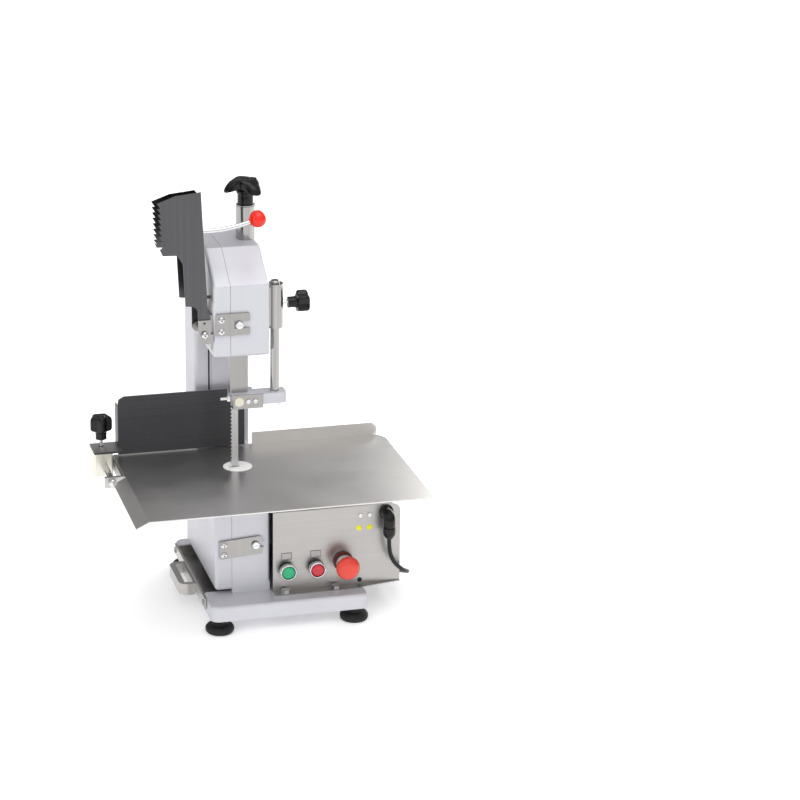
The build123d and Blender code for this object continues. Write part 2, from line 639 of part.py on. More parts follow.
# ---------------------------------------------------------------- control box
def control_box():
    """Folded stainless cover over the motor, open on its left and below, with a front flange."""
    outer = block(BOX_L, BOX_R, BOX_F, BOX_B, BASE_TOP, BOX_TOP)
    ridge = outer.edges().filter_by(Axis.Y).sort_by(Axis.Z)[-2:].sort_by(Axis.X)[-1]
    outer = fillet(ridge, 14)
    inner = block(BOX_L - 1, BOX_R - SHEET, BOX_F + SHEET, BOX_B - SHEET, BASE_TOP - 1, BOX_TOP - SHEET)
    ridge = inner.edges().filter_by(Axis.Y).sort_by(Axis.Z)[-2:].sort_by(Axis.X)[-1]
    body = outer - fillet(ridge, 12.5)
    lip = BOX_F - 18
    plan = [(BOX_L, lip), (120, lip), (BOX_R, BOX_F - 2), (BOX_R, BOX_F + SHEET), (BOX_L, BOX_F + SHEET)]
    flange = prism_z(plan, BASE_TOP, BASE_TOP + SHEET)
    for x in (2, 87):
        flange -= rod_z(x, -122, BASE_TOP - 1, BASE_TOP + 3, 4.4)
    body += flange
    for x, z in BUTTONS:
        body -= rod_y(x, BOX_F - 1, BOX_F + 3, z, 11)
    body -= rod_y(GLAND[0], BOX_F - 1, BOX_F + 3, 176, 8)
    for x in PANEL_SCREW_X:
        body -= rod_y(x, BOX_F - 1, BOX_F + 3, 173, 1.8)
    return body


def box_bolts():
    return [hex_bolt_z(x, -122, BASE_TOP + SHEET, 8, 16) for x in (2, 87)]


def button_housings():
    """Bright bezels with barrels through the panel; the emergency stop's has a wide collar."""
    housings = []
    for (x, z), bore in zip(BUTTONS, (11.4, 11.4, 8.4)):
        bezel = rod_y(x, BOX_F - 17, BOX_F, z, 14.2)
        bezel = chamfer(edges_at(bezel, Axis.Y, BOX_F - 17), 1.5) + rod_y(x, BOX_F, -88, z, 11)
        if x == ESTOP_X:
            bezel += rod_y(x, BOX_F - 5, BOX_F, z, 17)
        bezel -= rod_y(x, BOX_F - 18, -113, z, bore)
        housings.append(bezel - rod_y(x, -114, -87, z, 5.4))
    return housings


def push_button(x):
    cap = rod_y(x, BOX_F - 18, -118, BUTTON_Z, 11)
    cap = fillet(edges_at(cap, Axis.Y, BOX_F - 18), 1)
    return cap + rod_y(x, -118, -84, BUTTON_Z, 5)


def estop_stem():
    return rod_y(ESTOP_X, BOX_F - 34, -118, ESTOP_Z, 8) + rod_y(ESTOP_X, -118, -84, ESTOP_Z, 5)


def estop_mushroom():
    head = rod_y(ESTOP_X, BOX_F - 44, BOX_F - 28, ESTOP_Z, 20)
    head = fillet(edges_at(head, Axis.Y, BOX_F - 44), 6)
    return head - rod_y(ESTOP_X, BOX_F - 35, BOX_F - 27, ESTOP_Z, 8 + RUN_FIT)


def switch_blocks():
    blocks = []
    for x, z in BUTTONS:
        body = block(x - 14, x + 14, -96, -66, z - 14, z + 14)
        body -= rod_y(x, -97, -88, z, 11)
        blocks.append(body - rod_y(x, -89, -78, z, 5.4))
    return blocks


def label_plates():
    """Blank plates above the two buttons."""
    return [block(x - 9, x + 9, BOX_F - 0.6, BOX_F, 106, 118) for x in (START_X, STOP_X)]


def marker_dots():
    return [rod_y(x, BOX_F - 0.5, BOX_F, 151, 4.75) for x in (129, 147)]


def panel_screws():
    return [slotted_screw_y(x, 173, BOX_F, 3.6, SHEET, 2) for x in PANEL_SCREW_X]


def cable_gland():
    """Black elbow strain relief that turns the cord downwards."""
    x, y, z = GLAND
    body = rod_y(x, BOX_F - 4, BOX_F, 176, 12) + rod_y(x, BOX_F, BOX_F + 4, 176, 8)
    body += rod_y(x, y, BOX_F - 3, 176, 9) + Pos(x, y, 176) * Sphere(9)
    body += rod_z(x, y, 158, 176, 9) + rod_z(x, y, 150, 162, 10.5)
    return body + cone_z(x, y, z, 150, 6, 9)


def run_capacitor():
    return rod_x(60, 140, 86, 76, 18)


def terminal_block():
    return block(60, 130, -108, -92, 122, 142)


# ---------------------------------------------------------------- pusher
PUSH_F, PUSH_B = -98.0, -46.0          # outer faces of its two flanges
PUSH_WEB = 8.0                         # web, to the right of the pivot
PUSH_TOP, BACK_DROP = 234.0, 9.5       # top of the front flange, and how much lower the back one is
LEAN = 2.8                             # degrees towards -X when it is stored
TEETH, TOOTH_PITCH = 8, 9.0
HANDLE_Z = 665.0


def pusher_side(top, tail):
    """One flange in (x, z) about the pivot: toothed wide part above, arm, and the tail with the pivot."""
    left, right, arm = PUSH_WEB - 71, PUSH_WEB, PUSH_WEB - 35.5
    teeth = []
    for i in range(TEETH):
        high = top - 11 - TOOTH_PITCH * i
        teeth += [(left, high), (left + 5, high - TOOTH_PITCH)]
    edge = [(right, top), (left + 30, top - 2)] + teeth
    edge += [(left, 147), (left + 4, 137), (left + 26, 135), (arm - 5, 129), (arm, 119), (arm, 50)]
    return edge + [(-16, 48), (-10, 44), (-8, 38), (-tail, 0), (tail, 0), (tail, 30), (right, 46)]


def pusher_channel():
    body = None
    for y0, y1, top in ((PUSH_F, PUSH_F + SHEET, PUSH_TOP), (PUSH_B - SHEET, PUSH_B, PUSH_TOP - BACK_DROP)):
        side = prism_y(pusher_side(top, 9.5), y0, y1) + rod_y(0, y0, y1, 0, 9.5)
        side -= rod_y(0, y0 - 1, y1 + 1, 0, 3 + RUN_FIT)
        body = side if body is None else body + side
    body += block(PUSH_WEB - SHEET, PUSH_WEB, PUSH_F, PUSH_B, 46, PUSH_TOP - BACK_DROP)
    body = Pos(PIVOT_X, 0, PIVOT_Z) * Rot(0, -LEAN, 0) * body
    return body - rod_x(PIVOT_X - 30, PIVOT_X + 16, -72, HANDLE_Z, 4)


def pusher_bracket():
    """Base plate on the door with two round ears for the pivot bolt and a square one in front of the pusher."""
    front = PUSH_F - GAP
    plate = block(DOOR_L - 3, DOOR_L, -94, -50, 474, 532)
    plate += block(DOOR_L - 3, DOOR_L, front - 2, -94, PIVOT_Z - 14, PIVOT_Z)
    for y in (-94, -53):
        plate += block(PIVOT_X, DOOR_L, y, y + 3, PIVOT_Z - 9, PIVOT_Z + 9) + rod_y(PIVOT_X, y, y + 3, PIVOT_Z, 9)
    plate += block(PIVOT_X - 10, PIVOT_X + 10, front - 2, front, PIVOT_Z - 16, PIVOT_Z + 24)
    plate += block(PIVOT_X + 9, DOOR_L - 1, front - 2, front, PIVOT_Z - 14, PIVOT_Z)
    plate -= rod_y(PIVOT_X, front - 3, front + 1, PIVOT_Z + 19, 2)
    return plate - rod_y(PIVOT_X, front - 3, -49, PIVOT_Z, 3)


def pusher_bolt():
    """Pivot bolt with a head in front and a nut behind."""
    face = PUSH_F - GAP - 2
    bolt = rod_y(PIVOT_X, face, -45.5, PIVOT_Z, 3)
    return bolt + rod_y(PIVOT_X, face - 3, face, PIVOT_Z, 5) + rod_y(PIVOT_X, -45.5, -41, PIVOT_Z, 5)


def pusher_catch():
    """Bent spring hook on the door that holds the pusher upright."""
    plate = block(DOOR_L - 1.5, DOOR_L, -80, -64, 536, 556)
    return plate + block(DOOR_L - 4.5, DOOR_L, -80, -64, 554.5, 556)


def pusher_handle():
    """Rod from the web, rising slightly to the ball."""
    start, end = Vector(PIVOT_X + 16, -72, HANDLE_Z), Vector(-33, -72, 680)
    bend = Spline(start, Vector(-70, -72, 669.5), end, tangents=[Vector(1, 0, 0), Vector(1, 0, 0.35)])
    rod = sweep(Plane(start, z_dir=(1, 0, 0)) * Circle(4), path=bend)
    return rod + rod_x(PIVOT_X - 4, PIVOT_X + 16, -72, HANDLE_Z, 4)


def pusher_ball():
    return Pos(-33, -72, 680) * Sphere(14) - pusher_handle()


# ---------------------------------------------------------------- cord
ROUTE = [
    GLAND, (175, -134, 113), (184.7, -134, 92), (200.3, -129, 76), (214, -114, 66), (219, -91, 56),
    (217, -54, 43), (214, -13, 29), (214, 29, 14), (212, 68, 5), (208, 106, CORD_R), (200, 145, CORD_R),
    (COIL[0] + COIL_OUT, COIL[1] - COIL_END, CORD_R),
]


def bend_radii(route):
    """Each arc takes 0.45 of its shorter run."""
    points = [Vector(*p) for p in route]
    radii = []
    for before, here, after in zip(points, points[1:], points[2:]):
        turn = math.radians((here - before).get_angle(after - here))
        shorter = min((here - before).length, (after - here).length)
        radii.append(0.45 * shorter / math.tan(turn / 2))
    return radii


def power_cord():
    radii = bend_radii(ROUTE)
    print("cord radii", [round(r) for r in radii])
    path = FilletPolyline(*ROUTE, radius=radii)
    tube = sweep(Plane(ROUTE[0], z_dir=(0, 0, -1)) * Circle(CORD_R), path=path)
    print("cord length", round(path.length, 1), "volume ratio",
          round(tube.volume / (math.pi * CORD_R ** 2 * path.length), 4))
    return tube


def cord_coil():
    """Outer shape of the coil, with the straight ends where the cord comes in and goes out."""
    x, y = COIL
    body = rod_z(x, y, 0.3, 13.7, COIL_OUT + 3) - rod_z(x, y, -1, 15, COIL_IN - 3)
    body += rod_y(x + COIL_OUT, y - COIL_END, y, CORD_R, CORD_R)
    return body + rod_x(x - COIL_END, x, y + COIL_OUT, 3 * CORD_R, CORD_R)


def mains_plug():
    """Moulded plug lying behind the machine, its cord end towards the coil."""
    x, y = COIL[0] - COIL_END, COIL[1] + COIL_OUT
    neck = Pos(x - 12.5, y, 3 * CORD_R) * Rot(0, 90, 0) * Cone(7, 4.5, 25)
    body = block(x - 62, x - 24, y - 17, y + 17, 0, 24)
    body = fillet(body.edges().filter_by(Axis.Z), 6)
    for side in (-9.5, 9.5):
        body += rod_x(x - 80, x - 61, y + side, 12, 2.3)
    return body + neck


def frame_fasteners():
    return foot_screws() + frame_bolts() + motor_bolts() + table_screws()


NODES = {
    "base_plate": base_plate,
    "rubber_feet": rubber_feet,
    "frame_fasteners": frame_fasteners,
    "frame_casting": frame_casting,
    "door_shell": door_shell,
    "door_gasket": door_gasket,
    "door_hinge_leaves": hinge_leaves_door,
    "frame_hinges": lambda: hinge_leaves_frame() + hinge_pins(),
    "latch_plates": lambda: [upper_latch_plate(), lower_latch_plate()] + latch_screws(),
    "latch_studs": latch_studs,
    "upper_wheel": lambda: band_wheel(UPPER_Z, WHEEL_BEARING_R),
    "wheel_bearings": wheel_bearings,
    "slide_block": slide_block,
    "upper_axle": upper_axle,
    "slide_rails": slide_rails,
    "saw_blade": saw_blade,
    "tension_tube": tension_tube,
    "tension_spring": tension_spring,
    "tension_screw": tension_screw,
    "tension_knob": tension_knob,
    "lower_wheel": lambda: band_wheel(LOWER_Z, SHAFT_R),
    "lower_shaft": lower_shaft,
    "lower_bearings": lambda: [bearing_housing()] + shaft_bearings(),
    "motor": motor,
    "blade_scrapers": blade_scrapers,
    "work_table": work_table,
    "table_insert": table_insert,
    "table_brackets": table_brackets,
    "guide_sleeve": guide_sleeve,
    "guide_post": guide_post,
    "guide_arm": guide_arm,
    "guide_holder": guide_holder,
    "guide_pads": guide_pads,
    "guide_screws": guide_screws,
    "blade_guard": blade_guard,
    "guide_lock_knob": guide_lock_knob,
    "fence_rail": lambda: [fence_rod()] + rod_nuts(),
    "rod_bracket": rod_bracket,
    "fence_plate": fence_plate,
    "fence_block": fence_block,
    "fence_knob": fence_knob,
    "scrap_tray": scrap_tray,
    "tray_handle": lambda: [tray_handle()] + tray_screws(),
    "control_box": control_box,
    "box_screws": lambda: box_bolts() + panel_screws(),
    "button_housings": button_housings,
    "start_button": lambda: push_button(START_X),
    "stop_button": lambda: push_button(STOP_X),
    "estop_stem": estop_stem,
    "estop_mushroom": estop_mushroom,
    "switch_gear": lambda: switch_blocks() + [run_capacitor(), terminal_block()],
    "panel_labels": lambda: label_plates() + marker_dots(),
    "cable_gland": cable_gland,
    "power_cord": power_cord,
    "cord_coil": cord_coil,
    "mains_plug": mains_plug,
    "pusher_channel": pusher_channel,
    "pusher_bracket": lambda: [pusher_bracket(), pusher_bolt(), pusher_catch()],
    "pusher_handle": pusher_handle,
    "pusher_ball": pusher_ball,
}

os.makedirs("parts", exist_ok=True)
for node, build in NODES.items():
    made = build()
    save(node, *(made if isinstance(made, list) else [made]))
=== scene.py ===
"""Bench bone saw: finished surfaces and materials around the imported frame, laid out as an add-on."""

import math

import bmesh
import bpy
import numpy as np
from bpy.props import FloatProperty, FloatVectorProperty, IntProperty, PointerProperty
from bpy.types import Operator, Panel, PropertyGroup
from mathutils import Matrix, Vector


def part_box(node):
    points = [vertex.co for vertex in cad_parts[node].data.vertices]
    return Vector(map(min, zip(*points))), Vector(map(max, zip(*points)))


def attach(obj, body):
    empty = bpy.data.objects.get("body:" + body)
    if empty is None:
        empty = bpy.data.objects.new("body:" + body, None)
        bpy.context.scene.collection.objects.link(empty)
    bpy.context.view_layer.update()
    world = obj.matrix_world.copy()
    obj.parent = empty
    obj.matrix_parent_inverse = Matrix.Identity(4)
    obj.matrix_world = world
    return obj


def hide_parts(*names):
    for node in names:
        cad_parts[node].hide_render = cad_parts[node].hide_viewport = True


bl_info = {
    "name": "Bench Bone Saw",
    "version": (1, 0, 0),
    "blender": (4, 5, 0),
    "location": "3D View > Sidebar > Bone Saw",
    "description": "Builds the finished surfaces, cord and studio of a bench bone saw",
    "category": "Object",
}

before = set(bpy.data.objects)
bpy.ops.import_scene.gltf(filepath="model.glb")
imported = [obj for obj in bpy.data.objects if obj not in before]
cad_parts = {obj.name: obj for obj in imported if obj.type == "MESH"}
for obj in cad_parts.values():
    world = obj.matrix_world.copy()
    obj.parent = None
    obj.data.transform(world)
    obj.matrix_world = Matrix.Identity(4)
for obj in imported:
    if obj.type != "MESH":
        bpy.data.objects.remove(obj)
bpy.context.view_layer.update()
MM = 0.001

# ------------------------------------------------------------------ places on the machine, in millimetres
RIGHT, OUTWARD, UP = (1, 0, 0), (0, -1, 0), (0, 0, 1)
SCREW_X, WHEEL_Y = -34, 12                  # tension screw
NECK_BASE, DOME_BASE, CAP_BASE = 700, 705, 726
GUIDE_STAR, FENCE_STAR = (28, -76, 539), (-274, 44, 300)
FOOT_XS, FOOT_Y = (-113.5, 115), 137
PANEL = -112.0                              # face of the switch box
START, STOP, EMERGENCY = (5.5, PANEL, 88.5), (55.0, PANEL, 88.5), (102.0, PANEL, 95.0)
PLATE_LOW, PLATE_HIGH, PLATE_HALF = 106, 118, 9
DOT_XS, DOT_Z = (129, 147), 151
PANEL_PLUG = (131, PANEL, 58)
LATCH_FACE, EAR_FACE = -104, -103.4
DOMED_SCREWS = ((-100, LATCH_FACE, 525), (-100, LATCH_FACE, 506), (-98, LATCH_FACE, 137),
                (-98, LATCH_FACE, 120), (-127, EAR_FACE, 502))
SEAL_LOW, SEAL_HIGH = (-89.6, 51.4, 263), (-87.0, 53.4, 454)


# ------------------------------------------------------------------ properties
def colour_property(name, description, default):
    return FloatVectorProperty(name=name, description=description, subtype="COLOR", size=3,
                               min=0.0, max=1.0, default=default)


class SAW_PG_sizes(PropertyGroup):
    """Sizes that a user would change."""
    tooth_pitch: FloatProperty(name="Tooth pitch", description="Distance between teeth of the band",
                               default=0.0064, min=0.003, unit="LENGTH")
    tooth_depth: FloatProperty(name="Tooth depth", description="Depth of the gullets of the band",
                               default=0.0026, min=0.0005, unit="LENGTH")
    star_lobes: IntProperty(name="Star lobes", description="Lobes of the two lock knobs", default=5, min=3)
    cord_length: FloatProperty(name="Cord length", description="Real length of the mains cord",
                               default=1.8, min=0.5, unit="LENGTH")
    cord_diameter: FloatProperty(name="Cord diameter", description="Outer diameter of the mains cord",
                                 default=0.007, min=0.003, unit="LENGTH")
    coil_turns: FloatProperty(name="Coil turns", description="Turns of the stored coil, ending a quarter on",
                              default=5.25, min=1.25)


class SAW_PG_colours(PropertyGroup):
    """Colours of the finishes."""
    paint: colour_property("Casting paint", "Textured silver paint of the castings", (0.64, 0.64, 0.69))
    steel: colour_property("Stainless", "Brushed stainless sheet", (0.56, 0.545, 0.53))
    dark_steel: colour_property("Dark stainless", "Brushed plate of fence and pusher", (0.118, 0.118, 0.122))
    start: colour_property("Start cap", "Green start button", (0.0, 0.40, 0.16))
    stop: colour_property("Stop cap", "Red stop button", (0.58, 0.010, 0.03))
    emergency: colour_property("Emergency cap", "Mushroom of the emergency stop", (0.74, 0.055, 0.03))
    ball: colour_property("Ball", "Ball of the pusher handle", (0.80, 0.020, 0.008))
    dots: colour_property("Marker dots", "Plain yellow dots", (0.92, 0.86, 0.0))


# ------------------------------------------------------------------ mesh building
def put_mesh(name, points, faces, crease=35.0):
    """Object from an array of points and an array of quads; its doubles are merged and normals face out."""
    mesh = bpy.data.meshes.new(name)
    mesh.from_pydata(points.reshape(-1, 3).tolist(), [], faces.tolist())
    work = bmesh.new()
    work.from_mesh(mesh)
    bmesh.ops.remove_doubles(work, verts=work.verts, dist=1e-6)
    bmesh.ops.dissolve_degenerate(work, edges=work.edges, dist=1e-7)
    bmesh.ops.recalc_face_normals(work, faces=work.faces)
    work.to_mesh(mesh)
    work.free()
    mesh.shade_smooth()
    mesh.set_sharp_from_angle(angle=math.radians(crease))
    piece = bpy.data.objects.new(name, mesh)
    bpy.context.scene.collection.objects.link(piece)
    return piece


def grid_faces(rows, columns, close_rows=False, close_columns=True):
    """Quads of a rows by columns grid: each joins a point with its next row and next column."""
    row = np.arange(rows if close_rows else rows - 1)[:, None]
    column = np.arange(columns if close_columns else columns - 1)[None, :]
    next_row = (row + 1) % rows
    next_column = (column + 1) % columns
    corners = (row * columns + column, next_row * columns + column,
               next_row * columns + next_column, row * columns + next_column)
    return np.stack([np.broadcast_to(c, corners[0].shape) for c in corners], axis=-1).reshape(-1, 4)


def axes_for(axis):
    """Two unit vectors across an axis, right-handed with it."""
    axis = np.asarray(axis, float)
    helper = np.array([0.0, 0.0, 1.0]) if abs(axis[2]) < 0.9 else np.array([1.0, 0.0, 0.0])
    first = np.cross(helper, axis)
    first /= np.linalg.norm(first)
    return first, np.cross(axis, first), axis


def rounded(profile, radius=0.8, steps=4):
    """Profile with its corners cut back by radius and joined by a quadratic curve through each corner."""
    profile = np.asarray(profile, float)
    before, here, after = profile[:-2], profile[1:-1], profile[2:]
    t = np.linspace(0, 1, steps)[None, :, None]

    def toward(target):
        gap = target - here
        length = np.linalg.norm(gap, axis=1, keepdims=True)
        return here + gap / length * np.minimum(radius, length * 0.45)

    start, end = toward(before)[:, None], toward(after)[:, None]
    middle = here[:, None]
    curve = (1 - t) ** 2 * start + 2 * t * (1 - t) * middle + t ** 2 * end
    return np.vstack([profile[:1], curve.reshape(-1, 2), profile[-1:]])


def turned_points(profile, base, axis, steps=72, lobes=0, depth=0.0, phase=0.0, sharp=1.0, lift=0.0):
    """Surface of revolution as a grid.

    A profile point (radius, height) in millimetres goes round the axis. With lobes, its radius shrinks
    between them by depth times ((1 - cos(lobes * angle)) / 2) ** sharp, in proportion to the square of its
    radius over the largest one, so that the hub stays round. The height rises there by lift millimetres in
    the same proportion, which arches the rim between the lobes.
    """
    profile = np.asarray(profile, float)
    radius, height = profile[:, :1], profile[:, 1:]
    angle = np.arange(steps)[None, :] * (2 * math.pi / steps)
    if lobes:
        dip = ((1 - np.cos(lobes * (angle - phase))) / 2) ** sharp
        share = np.clip(radius / profile[:, 0].max(), 0, 1) ** 2
        radius = radius * (1 - depth * share * dip)
        height = height + lift * share * dip
    else:
        radius = np.broadcast_to(radius, (len(profile), steps))
    first, second, along = axes_for(axis)
    spread = (radius * np.cos(angle))[..., None] * first + (radius * np.sin(angle))[..., None] * second
    return (np.asarray(base, float) + spread + height[..., None] * along) * MM


def turned(name, profile, base, axis, steps=72, **lobing):
    """One turned piece from turned_points."""
    points = turned_points(profile, base, axis, steps, **lobing)
    return put_mesh(name, points, grid_faces(len(points), steps))


def turned_group(name, profile, bases, axis, steps=72, **lobing):
    """Several like turned solids in one mesh, one at each base."""
    grids = [turned_points(profile, base, axis, steps, **lobing) for base in bases]
    faces = grid_faces(len(grids[0]), steps)
    size = grids[0].shape[0] * steps
    stacked = np.concatenate([faces + i * size for i in range(len(grids))])
    return put_mesh(name, np.concatenate(grids), stacked)


def slab(name, low, high, edge=0.4):
    """Rounded box: rectangles whose corners are arcs of radius edge, drawn in at the bottom and the top."""
    low, high = np.asarray(low, float), np.asarray(high, float)
    middle, half = (low + high) / 2, (high - low) / 2
    turn = np.linspace(0, math.pi / 2, 4)
    corner = np.concatenate([turn + i * math.pi / 2 for i in range(4)])
    across = np.stack([np.cos(corner), np.sin(corner)], axis=1)
    sides = np.repeat(np.array([[1, 1], [-1, 1], [-1, -1], [1, -1]]), 4, axis=0)
    rows = []
    for height, inset in ((-half[2], 1.0), (-half[2], 0.5), (-half[2] + edge * 0.5, 0.0),
                          (half[2] - edge * 0.5, 0.0), (half[2], 0.5), (half[2], 1.0)):
        if inset == 1.0:
            ring = np.zeros((16, 2))
        else:
            ring = sides * (half[:2] - edge) + across * edge * (1 - inset)
        rows.append(np.hstack([middle[:2] + ring, np.full((16, 1), middle[2] + height)]))
    return put_mesh(name, np.stack(rows) * MM, grid_faces(6, 16))


def carried(name, path, radii, across, steps=32):
    """Tube of varying radius: a circle carried along a flat path whose plane has the normal across."""
    path, radii = np.asarray(path, float), np.asarray(radii, float)
    tangent = np.gradient(path, axis=0)
    tangent /= np.linalg.norm(tangent, axis=1, keepdims=True)
    side = np.asarray(across, float)[None, :]
    normal = np.cross(side, tangent)
    angle = np.arange(steps) * (2 * math.pi / steps)
    ring = (np.cos(angle)[None, :, None] * side[:, None] + np.sin(angle)[None, :, None] * normal[:, None])
    points = path[:, None] + radii[:, None, None] * ring
    ends = np.broadcast_to(path[[0, -1]][:, None], (2, steps, 3))
    points = np.concatenate([ends[:1], points, ends[1:]]) * MM
    return put_mesh(name, points, grid_faces(len(points), steps))


# ------------------------------------------------------------------ materials
def new_material(name):
    """Material with an empty node tree, its nodes and its links."""
    material = bpy.data.materials.new(name)
    material.use_nodes = True
    material.node_tree.nodes.clear()
    return material, material.node_tree.nodes, material.node_tree.links


def cast_paint(name, colour, roughness=0.42, grain=420.0):
    """Textured silver paint: metallic flakes, a fine orange-peel bump and slight colour drift."""
    material, nodes, links = new_material(name)
    output = nodes.new("ShaderNodeOutputMaterial")
    output.label, output.location = "Painted surface", (900, 0)
    shader = nodes.new("ShaderNodeBsdfPrincipled")
    shader.label, shader.location = "Silver paint", (600, 0)
    shader.inputs["Metallic"].default_value = 0.30
    shader.inputs["Coat Weight"].default_value = 0.25
    shader.inputs["Coat Roughness"].default_value = 0.25
    place = nodes.new("ShaderNodeTexCoord")
    place.label, place.location = "Place on casting", (-900, 0)
    flakes = nodes.new("ShaderNodeTexVoronoi")
    flakes.label, flakes.location = "Paint flakes", (-600, 250)
    flakes.inputs["Scale"].default_value = 1500.0
    drift = nodes.new("ShaderNodeTexNoise")
    drift.label, drift.location = "Slow drift of tone", (-600, 0)
    drift.inputs["Scale"].default_value = 9.0
    drift.inputs["Detail"].default_value = 3.0
    tone = nodes.new("ShaderNodeMix")
    tone.label, tone.location = "Flake tones", (-300, 250)
    tone.data_type = "RGBA"
    tone.inputs["A"].default_value = (*[c * 0.90 for c in colour], 1)
    tone.inputs["B"].default_value = (*[min(c * 1.08, 1) for c in colour], 1)
    shade = nodes.new("ShaderNodeMix")
    shade.label, shade.location = "Handled areas", (0, 200)
    shade.data_type = "RGBA"
    shade.inputs["B"].default_value = (*[c * 0.93 for c in colour], 1)
    spread = nodes.new("ShaderNodeMapRange")
    spread.label, spread.location = "Sheen variation", (0, -60)
    spread.inputs["To Min"].default_value = roughness - 0.07
    spread.inputs["To Max"].default_value = roughness + 0.09
    peel = nodes.new("ShaderNodeTexNoise")
    peel.label, peel.location = "Orange peel", (-600, -300)
    peel.inputs["Scale"].default_value = grain
    peel.inputs["Detail"].default_value = 3.0
    relief = nodes.new("ShaderNodeBump")
    relief.label, relief.location = "Paint relief", (250, -300)
    relief.inputs["Strength"].default_value = 0.30
    relief.inputs["Distance"].default_value = 0.0006
    links.new(place.outputs["Object"], flakes.inputs["Vector"])
    links.new(place.outputs["Object"], drift.inputs["Vector"])
    links.new(place.outputs["Object"], peel.inputs["Vector"])
    links.new(flakes.outputs["Distance"], tone.inputs["Factor"])
    links.new(tone.outputs["Result"], shade.inputs["A"])
    links.new(drift.outputs["Fac"], shade.inputs["Factor"])
    links.new(drift.outputs["Fac"], spread.inputs["Value"])
    links.new(spread.outputs["Result"], shader.inputs["Roughness"])
    links.new(shade.outputs["Result"], shader.inputs["Base Color"])
    links.new(peel.outputs["Fac"], relief.inputs["Height"])
    links.new(relief.outputs["Normal"], shader.inputs["Normal"])
    links.new(shader.outputs["BSDF"], output.inputs["Surface"])
    colour_frame = nodes.new("NodeFrame")
    colour_frame.label = "Colour of the paint"
    for node in (flakes, drift, tone, shade, spread):
        node.parent = colour_frame
    relief_frame = nodes.new("NodeFrame")
    relief_frame.label = "Relief of the paint"
    for node in (peel, relief):
        node.parent = relief_frame
    return material


ALONG = {"X": (7.0, 950.0, 950.0), "Y": (950.0, 7.0, 950.0), "Z": (950.0, 950.0, 7.0)}


